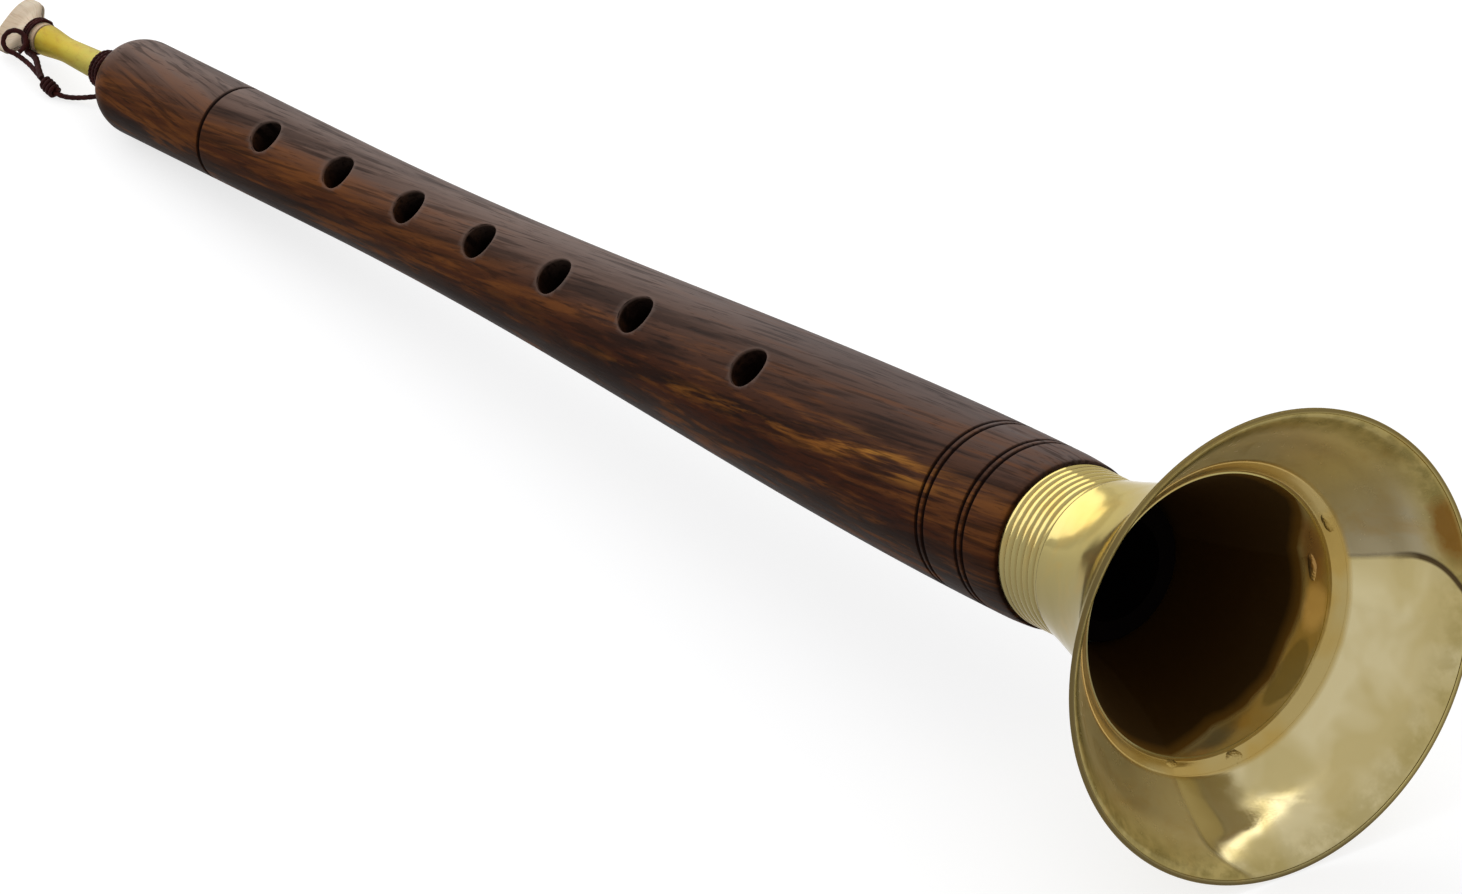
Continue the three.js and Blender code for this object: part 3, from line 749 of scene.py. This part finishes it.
def bellProfile():
    length, bead, half = bell["length"], bell["bead"], bell["lineWidth"] / 2
    sleeveEnd = length - bell["sleeveLength"]
    rimInner = bell["mouthRadius"] - 2 * bead
    inner = between((bell["sleeveBore"], sleeveEnd), bell["throat"], bell["flare"])
    inner += between(bell["throat"], bell["crease"], bell["band"])
    inner += between(bell["crease"], (rimInner, 0.0), bell["dish"]) + [(rimInner, bead)]
    inner = smoothLine(inner, bell["pointsPerSpan"])
    face = [(radius, station, {"depth": station}) for radius, station in inner]
    steps = bell["sleeveSteps"]
    straight = [(bell["sleeveBore"], lerp(length, sleeveEnd, step / steps), {"depth": length})
                for step in range(steps)]
    rim = []
    for step in range(1, bell["beadSteps"]):
        angle = math.pi + bell["beadTurn"] * step / bell["beadSteps"]
        rim.append((bell["mouthRadius"] - bead + bead * math.cos(angle), bead + bead * math.sin(angle),
                    {"edge": smoothStep(step, 1, 6) * 0.8}))
    # The outer face lies one wall outside the inner one
    outer = []
    linesEnd = length - (bell["lineCount"] + 1) * bell["linePitch"]
    for index, (radius, station) in enumerate(inner):
        ahead, behind = inner[min(index + 1, len(inner) - 1)], inner[max(index - 1, 0)]
        way = math.hypot(ahead[0] - behind[0], ahead[1] - behind[1])
        outR = radius - (ahead[1] - behind[1]) / way * bell["wall"]
        outS = station + (ahead[0] - behind[0]) / way * bell["wall"]
        if bell["outerStart"] < outS < linesEnd:
            outer.append((outR, outS, {"edge": 0.25 * smoothStep(outS, 4.0, 1.0)}))
    outer.reverse()
    # One turned line: place, rise over the sleeve and darkening
    sleeveRadius = bell["sleeveBore"] + bell["wall"]
    lineShape = [(-bell["linePitch"] / 2, 0.04, 0.0), (-half - 0.12, 0.02, 0.0), (-half, -0.03, 0.25),
                 (-0.06, -bell["lineDepth"], 0.4), (0.06, -bell["lineDepth"], 0.4), (half, -0.03, 0.25),
                 (half + 0.12, 0.02, 0.0)]
    endShape = [(-bell["linePitch"] / 2, 0.04, 0.0), (-0.3, 0.02, 0.0), (-0.08, -0.08, 0.2), (0.0, -0.25, 0.4)]
    sleeve = []
    for line in range(bell["lineCount"], -1, -1):
        sleeve += [(sleeveRadius + rise, length - line * bell["linePitch"] + place, {"lineDarkening": lineDarkening})
                   for place, rise, lineDarkening in (lineShape if line else endShape)]
    return straight + face + rim + outer + sleeve


settle(turnedObject("spunBell", bellProfile(), bell["segments"], "bell_brass"), "bell", "bell_brass", "bell")
print("bell turned")


# Pipe: one turned length of rosewood, drilled for seven fingers
pipe = {
    "length": 321.7,
    "shoulderRadius": 17.1,
    "edge": 0.5,
    "edgeSteps": 5,
    "bellyRadius": 17.4,
    "bellyFromShoulder": 7.6,
    "headRadius": layout["headRadius"],
    "headFromPole": 80.0,
    "domeSteps": 24,
    "tenonLength": 15.7,
    "tenonRadius": 14.6,
    "tenonEdge": 0.4,
    "boreTop": 2.6,
    "boreEnd": 10.5,
    "boreSteps": 40,
    "socketRadius": 3.8,
    "socketDepth": 21.0,
    "socketEdge": 0.3,
    "stationStep": 1.6,
    "grooveWidth": 1.15,
    "grooveDepth": 0.5,
    "pairSpacing": 2.0,
    "lowerPair": 11.6,
    "upperPair": 24.7,
    "headLine": 42.3,
    # Shares of a groove's half width and depth, with its darkness, from its side to its floor
    "grooveSide": [(1.25, 0.0, 0.0), (1.0, 0.03, 0.15), (0.6, 0.55, 0.9), (0.25, 0.95, 1.0)],
    "holePlaces": [0.284, 0.408, 0.498, 0.58, 0.657, 0.733, 0.81],
    "holeDiameters": (8.6, 7.0),
    "holeRounding": 0.35,
    "holeSides": 72,
    # A drill's rings: growth in roundings, then height over the wood in roundings or, above it, in millimetres
    "drillInWood": [(0.0, -2.2), (0.04, -1.2), (0.14, -0.62), (0.34, -0.26), (0.62, -0.07)],
    "drillAbove": [(1.0, 0.012), (1.25, 0.4), (1.25, 2.0)],
    "wornReach": 0.9,
    "segments": 200,
}
belly = shoulder + pipe["bellyFromShoulder"]


def pipeRadius(station):
    share = min(max((station - belly) / (pole - pipe["headFromPole"] - belly), 0.0), 1.0)
    return lerp(pipe["headRadius"], pipe["bellyRadius"], (1 + math.cos(math.pi * share)) / 2)


def grooveStations():
    spread = pipe["pairSpacing"] / 2
    pairs = [shoulder + pipe[pair] + side for pair in ("lowerPair", "upperPair") for side in (-spread, spread)]
    return pairs + [pole - pipe["headLine"]]


def grooveCut(station):
    points = []
    shape = [(-share, depth, mark) for share, depth, mark in pipe["grooveSide"]] + pipe["grooveSide"][::-1]
    for share, depth, mark in shape:
        place = station + share * pipe["grooveWidth"] / 2
        points.append((pipeRadius(place) - depth * pipe["grooveDepth"], place, {"groove": mark}))
    return points


def pipeProfile():
    tenonEnd = shoulder - pipe["tenonLength"]
    head, socket, hidden = pipe["headRadius"], pipe["socketRadius"], {"inside": 1.0}
    dome = pole - head
    outside = [
        (pipe["boreEnd"], tenonEnd, hidden),
        (pipe["tenonRadius"] - pipe["tenonEdge"], tenonEnd, hidden),
        (pipe["tenonRadius"], tenonEnd + pipe["tenonEdge"], hidden),
        (pipe["tenonRadius"], shoulder, hidden),
        (pipe["shoulderRadius"] - pipe["edge"], shoulder, {"groove": 0.6}),
        (pipe["shoulderRadius"] - 0.15, shoulder + 0.15, {"groove": 0.4}),
        (pipe["shoulderRadius"], shoulder + pipe["edge"], {}),
    ]
    for step in range(1, pipe["edgeSteps"]):
        share = step / pipe["edgeSteps"]
        outside.append((lerp(pipe["shoulderRadius"], pipe["bellyRadius"], math.sin(math.pi / 2 * share)),
                        lerp(shoulder + pipe["edge"], belly, share), {}))
    # The side is set out in even steps, except in the grooves
    grooves = grooveStations()
    stations, place = [], belly
    while place < dome:
        stations.append(place)
        place += pipe["stationStep"]
    clear = [s for s in stations if all(abs(s - g) > pipe["grooveWidth"] for g in grooves)]
    side = [[(pipeRadius(s), s, {})] for s in clear] + [grooveCut(g) for g in grooves]
    for points in sorted(side, key=lambda points: points[0][1]):
        outside += points
    # The dome ends at the mouth of the staple's socket, and the bore widens from the socket's floor to the tenon
    mouthAngle = math.acos((socket + pipe["socketEdge"]) / head)
    for step in range(pipe["domeSteps"] + 1):
        angle = mouthAngle * step / pipe["domeSteps"]
        outside.append((head * math.cos(angle), dome + head * math.sin(angle), {}))
    mouth = dome + head * math.sin(mouthAngle)
    floor = dome + math.sqrt(head ** 2 - socket ** 2) - pipe["socketDepth"]
    outside += [
        (socket + 0.06, mouth + 0.02, {"worn": 0.2}),
        (socket, mouth - pipe["socketEdge"], hidden),
        (socket, floor, hidden),
        (pipe["boreTop"], floor, hidden),
    ]
    shares = [step / pipe["boreSteps"] for step in range(1, pipe["boreSteps"])]
    return outside + [
        (lerp(pipe["boreTop"], pipe["boreEnd"], share), lerp(floor, tenonEnd, share), hidden) for share in shares]


def fingerHoles():
    last = len(pipe["holePlaces"]) - 1
    return [(shoulder + share * pipe["length"], lerp(*pipe["holeDiameters"], index / last) / 2)
            for index, share in enumerate(pipe["holePlaces"])]


# Each drill is flared where it leaves the wood, by the curve of the pipe there, so the hole's edge is eased
def drillMesh():
    verts, faces = [], []
    sides, ease = pipe["holeSides"], pipe["holeRounding"]
    rings = [(grow, lift * ease) for grow, lift in pipe["drillInWood"]] + pipe["drillAbove"]
    for station, radius in fingerHoles():
        slope = (pipeRadius(station + 1) - pipeRadius(station - 1)) / 2
        faces += tubeFaces(len(rings) + 1, sides, len(verts))
        for grow, lift in [(0.0, None)] + rings:  # the first ring lies on the bore's axis
            for side in range(sides):
                angle = fullTurn * side / sides
                x, along = (radius + grow * ease) * math.cos(angle), (radius + grow * ease) * math.sin(angle)
                surface = math.sqrt((pipeRadius(station) + slope * along) ** 2 - x * x)
                verts.append((x * mm, (station + along) * mm, (0.0 if lift is None else surface + lift) * mm))
    return pipeFrameMesh("fingerHoleDrills", verts, faces)


def drilledPipe():
    obj = turnedObject("rosewoodPipe", pipeProfile(), pipe["segments"], "rosewood")
    drills = newObject("fingerHoleDrills", drillMesh())
    cut = obj.modifiers.new("drilled", "BOOLEAN")
    cut.operation, cut.solver, cut.object = "DIFFERENCE", "EXACT", drills
    mesh = plainMesh(obj)
    bpy.data.objects.remove(drills)
    mesh.materials.clear()
    mesh.materials.append(materials["rosewood"])
    mesh.polygons.foreach_set("material_index", [0] * len(mesh.polygons))
    # The holes' walls are charred dark and painted with their shade, and the wood round them is a little worn
    inside, worn = mesh.attributes["inside"].data, mesh.attributes["worn"].data
    ease, reach, holes = pipe["holeRounding"], pipe["wornReach"], fingerHoles()
    for index, vertex in enumerate(mesh.vertices):
        here = rowToPipe @ vertex.co / mm
        for station, radius in holes:
            off = math.hypot(here.x, here.y - station)
            if here.z > 0 and off < radius + ease * 1.1:
                down = math.sqrt(max(pipeRadius(here.y) ** 2 - here.x ** 2, 0.0)) - here.z
                inside[index].value = smoothStep(down, 0.25, 1.1)
                worn[index].value = 0.4 * (1 - smoothStep(down, 0.3, 0.8))
            elif here.z > 0 and off < radius + reach:
                worn[index].value = 0.2 * (1 - smoothStep(off, radius + ease, radius + reach))
    faceOut(mesh, turnedEdge)
    return obj


settle(drilledPipe(), "pipe", "rosewood", "wooden_pipe")
print("pipe turned and drilled")


# Staple: a drawn tube with a flared lip and the spigot that the reed is pushed over
staple = {
    "foot": 368.2,
    "footRadius": 2.75,
    "reach": 24.5,
    "waistRadius": 2.48,
    "lipRadius": 3.1,
    "spigotRadius": 1.45,
    "spigotLength": 5.0,
    "boreFoot": 1.9,
    "boreTip": 0.8,
    "boreSteps": 12,
    "segments": 96,
    "pointsPerSpan": 8,
    # Shares of the reach, and of the way from the waist's radius to the lip's
    "shape": [(0.06, 0.72), (0.24, 0.6), (0.4, 0.4), (0.56, 0.16), (0.69, 0.0), (0.8, 0.28), (0.9, 0.72),
              (0.96, 0.94)],
    # The rounded lip, in from its radius and back from its end
    "lipEdge": [(0.04, 0.2), (0.15, 0.05), (0.3, 0.0)],
}


def stapleProfile():
    foot, footRadius, lipRadius = staple["foot"], staple["footRadius"], staple["lipRadius"]
    spigot, steps = staple["spigotRadius"], staple["boreSteps"]
    lip = pole + staple["reach"]
    tip = lip + staple["spigotLength"]
    shape = [(footRadius, pole - 4.0), (footRadius, pole)]
    shape += [(lerp(staple["waistRadius"], lipRadius, out), pole + along * staple["reach"])
              for along, out in staple["shape"]]
    points = [(staple["boreFoot"], foot), (footRadius - 0.2, foot), (footRadius, foot + 0.2)]
    points += smoothLine(shape + [(lipRadius, lip - 0.5)], staple["pointsPerSpan"])
    points += [(lipRadius - inward, lip - back) for inward, back in staple["lipEdge"]]
    points += [(spigot, lip), (spigot, tip - 0.15), (spigot - 0.15, tip), (staple["boreTip"], tip)]
    points += [(lerp(staple["boreTip"], staple["boreFoot"], step / steps), lerp(tip, foot, step / steps))
               for step in range(1, steps)]
    return [(*point, {}) for point in points]


settle(turnedObject("brassStaple", stapleProfile(), staple["segments"], "staple_brass"),
       "staple", "staple_brass", "staple")
print("staple turned")


# Wound threads: body, slot and replaced node; turns, pitch, centre line radius, thread radius, first station, the
# angle at which the winding ends, the lay of its plies and the steps of one turn
windings = {
    "tenonThread": ("pipe", "lapping_thread", "tenon_lapping", 27.0, 0.43, 15.1, 0.2, 53.9, 0.0, 1.6, 80),
    "stapleFootThread": ("staple", "lapping_thread", "staple_lapping", 42.0, 0.46, 3.27, 0.22, 368.8, 0.0, 1.5, 36),
    "reedThread": ("reed", "dark_thread", "reed_binding", 3.0, 0.68, 3.46, 0.33, 415.3, 0.0, 1.5, 60),
    "hitchTurns": ("staple", "dark_thread", "tether_hitch", 3.0, 1.0, 3.55, 0.5, 390.4, 250.0, 2.4, 72),
}


def windThread(name, body, slotName, node, turns, pitch, radius, thread, start, endAngle, lay, steps):
    obj = newObject(name, bpy.data.meshes.new(name))
    mesh = runTree(obj, windingTree, {
        "Turns": turns, "Pitch": pitch * mm, "Radius": radius * mm, "Thread Radius": thread * mm, "Lay": lay * mm,
        "Steps Per Turn": steps, "Material": materials[slotName]})
    # The helix starts on +X and climbs +Z turning left; here it climbs the stations and ends at its own angle
    mesh.transform(Matrix.Rotation(-math.pi / 2, 4, "X"))
    mesh.transform(Matrix.Rotation(-math.radians(endAngle + 360.0 * turns), 4, "Y"))
    mesh.transform(Matrix.Translation((0, start * mm, 0)))
    mesh.transform(pipeToRow)
    faceOut(mesh)
    settle(obj, body, slotName, node)


for name, winding in windings.items():
    windThread(name, *winding)
print("threads wound:", len(windings))


# Reed: two pairs of cane blades, rolled at the root and scraped thin and fanned at the tip
reed = {
    "root": 413.9,
    "length": 12.4,
    "rootRadius": 3.1,
    "outerWall": 0.6,
    "innerWall": 0.45,
    "mouthGap": 0.5,
    "tipWidth": 12.2,
    "crown": 0.3,
    "edgeShare": 0.35,
    "tipFit": 0.06,
    "fanStart": 3.4,
    "fanEnd": 9.6,
    "innerSetback": 0.7,
    "tipRounding": 1.5,
    "edgeAngle": 84.0,
    "rows": 48,
    "columns": 40,
    "scrape": 0.5,
    "scrapeStart": 0.45,
    "sharpAngle": math.radians(50),
}


def bladeMesh(name, rootRadius, wall, length, lift, flipped):
    rows, columns = reed["rows"], reed["columns"]
    edge, sign = math.radians(reed["edgeAngle"]), -1 if flipped else 1
    verts, uvs = [], []
    for inward in (0, 1):
        for row in range(rows + 1):
            for column in range(columns + 1):
                along, across = row / rows, column / columns
                angle = lerp(-edge, edge, across)
                side = math.sin(angle)
                fanned = smoothStep(along * length, reed["fanStart"], reed["fanEnd"])
                flat = smoothStep(along * length, reed["fanStart"], (reed["fanStart"] + reed["length"]) / 2)
                radius = rootRadius - inward * wall
                width = lerp(rootRadius, reed["tipWidth"] / 2, fanned) - inward * wall * (1 - flat)
                scraped = wall * reed["scrape"] * smoothStep(along, reed["scrapeStart"], 1.0) * (1 - inward)
                closing = lerp(reed["edgeShare"], 1.0, math.cos(angle))
                fanHeight = (lift + (1 - inward) * wall - scraped) * closing + reed["crown"] * math.cos(angle)
                corner = reed["tipRounding"] * fanned * side ** 4
                station = reed["root"] + along * length - corner
                height = lerp(radius * math.cos(angle), fanHeight, flat)
                verts.append((width * side * sign * mm, station * mm, height * sign * mm))
                uvs.append((across, along))
    # Both faces of the blade, then its two sides, its root and its tip
    stride, half = columns + 1, (rows + 1) * (columns + 1)
    faces = []
    for row in range(rows):
        for column in range(columns):
            a = row * stride + column
            faces.append((a, a + 1, a + stride + 1, a + stride))
            faces.append((half + a, half + a + stride, half + a + stride + 1, half + a + 1))
        a, b = row * stride, row * stride + columns
        faces.append((a, a + stride, half + a + stride, half + a))
        faces.append((b, half + b, half + b + stride, b + stride))
    for column in range(columns):
        a, b = column, rows * stride + column
        faces.append((a, half + a, half + a + 1, a + 1))
        faces.append((b, b + 1, half + b + 1, half + b))
    mesh = pipeFrameMesh(name, verts, faces, reed["sharpAngle"])
    layer = mesh.uv_layers.new(name="UVMap")
    for loop in mesh.loops:
        layer.data[loop.index].uv = uvs[loop.vertex_index]
    return mesh


def makeReed():
    innerRoot = reed["rootRadius"] - reed["outerWall"] - layout["fit"]
    innerLift = reed["mouthGap"] / 2
    outerLift = innerLift + reed["innerWall"] + reed["tipFit"]
    outerBlade = (reed["rootRadius"], reed["outerWall"], reed["length"], outerLift)
    innerBlade = (innerRoot, reed["innerWall"], reed["length"] - reed["innerSetback"], innerLift)
    for name, node, sizes, flipped in (
        ("upperOuterCane", "reed_upper_outer_blade", outerBlade, False),
        ("upperInnerCane", "reed_upper_inner_blade", innerBlade, False),
        ("lowerInnerCane", "reed_lower_inner_blade", innerBlade, True),
        ("lowerOuterCane", "reed_lower_outer_blade", outerBlade, True),
    ):
        settle(newObject(name, bladeMesh(name, *sizes, flipped)), "reed", "cane", node)


makeReed()
print("reed made")


# Tether: a two-ply cord from the hitch through its knot to the eye beside the reed, and a strand to the binding
tether = {
    "diameter": 1.0,
    "thickness": 1.08,
    "plies": 2,
    "plyDepth": 0.06,
    "lay": 2.6,
    "sides": 14,
    "step": 0.25,
    "pointsPerSpan": 40,
    "sharpAngle": math.radians(60),
    "cord": [(-2.44, 393.47, -2.89), (-3.35, 393.8, -3.4), (-4.55, 394.72, -3.97), (-5.8, 396.54, -3.65),
             (-6.95, 398.48, -3.17), (-7.89, 400.34, -2.56), (-8.38, 402.03, -1.89), (-8.39, 403.87, -1.25),
             (-8.01, 405.7, -0.51), (-7.44, 407.58, 0.17), (-6.85, 409.5, 0.74), (-6.38, 411.35, 1.2),
             (-6.11, 413.12, 1.68), (-6.0, 414.63, 2.18), (-6.06, 415.83, 2.83), (-6.31, 416.85, 3.62),
             (-6.06, 417.43, 4.42), (-5.4, 417.81, 5.11), (-4.47, 417.88, 5.54), (-3.47, 417.61, 5.63),
             (-2.64, 417.06, 5.38), (-2.15, 416.31, 4.84), (-2.11, 415.51, 4.18), (-2.55, 414.79, 3.55),
             (-3.37, 414.28, 3.12), (-4.4, 414.04, 3.02), (-5.51, 414.02, 3.24)],
    "blendEnd": 6,  # the cord's point at the start of the knot
    "bindingStrand": [(-7.62, 406.22, 0.86), (-6.63, 408.0, 1.03), (-5.61, 409.64, 1.06), (-4.72, 411.21, 0.96),
                      (-4.2, 413.01, 0.82), (-3.98, 415.1, 0.7), (-3.43, 415.1, 1.82), (-2.49, 415.1, 2.76)],
    "strandThickness": 1.35,
    "knot": [(-8.5, 402.7, -1.45), (-7.75, 406.2, 0.1)],
    "knotTurns": 4.5,
    "knotStepsPerTurn": 24,
    "knotRadius": 1.05,
    "knotSwell": (0.92, 0.16),
    "knotThread": 0.43,
}


def evenPath(route):
    points = [Vector(point) for point in smoothLine(route, tether["pointsPerSpan"])]
    path, travelled = [points[0]], 0.0
    for before, here in zip(points, points[1:]):
        travelled += (here - before).length
        if travelled >= tether["step"]:
            path.append(here)
            travelled = 0.0
    path[-1] = points[-1]
    return path


def plyTube(name, path, thickness):
    verts, sides = [], tether["sides"]
    across, run = Vector((0, 0, 1)), 0.0
    for index, centre in enumerate(path):
        ahead, behind = path[min(index + 1, len(path) - 1)], path[max(index - 1, 0)]
        way = (ahead - behind).normalized()
        across = (across - way * across.dot(way)).normalized()
        upward = way.cross(across)
        run += (centre - behind).length
        for side in range(sides):
            angle = fullTurn * side / sides
            lobe = 1 - tether["plyDepth"] * (1 - math.cos(tether["plies"] * (angle - fullTurn * run / tether["lay"])))
            verts.append((centre + (across * math.cos(angle) + upward * math.sin(angle)) * thickness / 2 * lobe) * mm)
    return newObject(name, pipeFrameMesh(name, verts, tubeFaces(len(path), sides), tether["sharpAngle"]))


# The knot is wrapped round both strands
def knotRoute():
    first, last = (Vector(point) for point in tether["knot"])
    way = (last - first).normalized()
    across = way.orthogonal().normalized()
    upward = way.cross(across)
    steps, (thin, swell) = tether["knotStepsPerTurn"], tether["knotSwell"]
    count = int(tether["knotTurns"] * steps)
    route = []
    for step in range(count + 1):
        angle, share = fullTurn * step / steps, step / count
        radius = tether["knotRadius"] * (thin + swell * math.sin(math.pi * share))
        route.append(first.lerp(last, share) + (across * math.cos(angle) + upward * math.sin(angle)) * radius)
    return route


def makeTether():
    path = evenPath(tether["cord"])
    cord = settle(plyTube("tetherCord", path, tether["thickness"]), None, "dark_thread",
                  "tether_cord", "tether_eye_strand", "tether_eye")
    strand = plyTube("bindingStrand", evenPath(tether["bindingStrand"]), tether["strandThickness"])
    settle(strand, "reed", "dark_thread", "tether_binding_strand")
    knot = plyTube("tetherKnot", knotRoute(), 2 * tether["knotThread"])
    settle(knot, "reed", "dark_thread", "tether_knot")
    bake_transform(cord)
    length = sum((b - a).length for a, b in zip(path, path[1:]))
    print("tether length", round(length, 2), "mm")


makeTether()
print("tether tied")


# Studio: white floor and sky, one wide window light from the left and a long strip overhead
studio = {
    "floorHeight": -0.0003,
    "floorSize": 6.0,
    "floorColour": (0.4, 0.4, 0.4),
    "floorGlow": 0.72,
    "skyLight": (0.6, 0.605, 0.62),
    "skyWhite": (1.0, 1.0, 1.0),
    "lamps": {
        "windowLight": {"place": (-1.17, -0.05, 0.56), "aim": (0.1, 0.0, 0.04), "along": (0.06, 0.998, 0.0),
                        "size": (1.9, 0.9), "power": 11.5},
        "stripLight": {"place": (0.3, 0.52, 1.35), "aim": (0.3, 0.52, 0.0), "along": (1.0, 0.0, 0.0),
                       "size": (0.13, 2.55), "power": 2.1},
    },
}


def makeFloor():
    size, height = studio["floorSize"] / 2, studio["floorHeight"]
    mesh = bpy.data.meshes.new("studioFloor")
    corners = [(-size, -size, height), (size, -size, height), (size, size, height), (-size, size, height)]
    mesh.from_pydata(corners, [], [(0, 1, 2, 3)])
    shade = Shade("paleFloor")
    mesh.materials.append(shade.finish(
        studio["floorColour"], 0.9, Specular_IOR_Level=0.0, Emission_Color=studio["skyWhite"],
        Emission_Strength=shade.seenDirectly() * studio["floorGlow"]))
    newObject("studioFloor", mesh)


def makeSky():
    world = bpy.data.worlds.new("studioSky")
    world.use_nodes = True
    bpy.context.scene.world = world
    sky = Graph(world.node_tree)
    sky.tree.nodes.clear()
    light, white = (sky.out("ShaderNodeBackground", {"Color": studio[tint]}) for tint in ("skyLight", "skyWhite"))
    sky.add("ShaderNodeOutputWorld", {0: sky.out("ShaderNodeMixShader", {0: sky.seenDirectly(), 1: light, 2: white})})


def makeLamp(name, lamp):
    data = bpy.data.lights.new(name, "AREA")
    data.shape, data.size, data.size_y = "RECTANGLE", *lamp["size"]
    data.energy = lamp["power"]
    back = (Vector(lamp["place"]) - Vector(lamp["aim"])).normalized()
    across = Vector(lamp["along"])
    across = (across - back * across.dot(back)).normalized()
    turn = Matrix((across, back.cross(across), back)).transposed().to_4x4()
    newObject(name, data).matrix_world = Matrix.Translation(lamp["place"]) @ turn


makeFloor()
makeSky()
for name, lamp in studio["lamps"].items():
    makeLamp(name, lamp)
bpy.context.scene.view_settings.view_transform = "Standard"
print("studio lit")
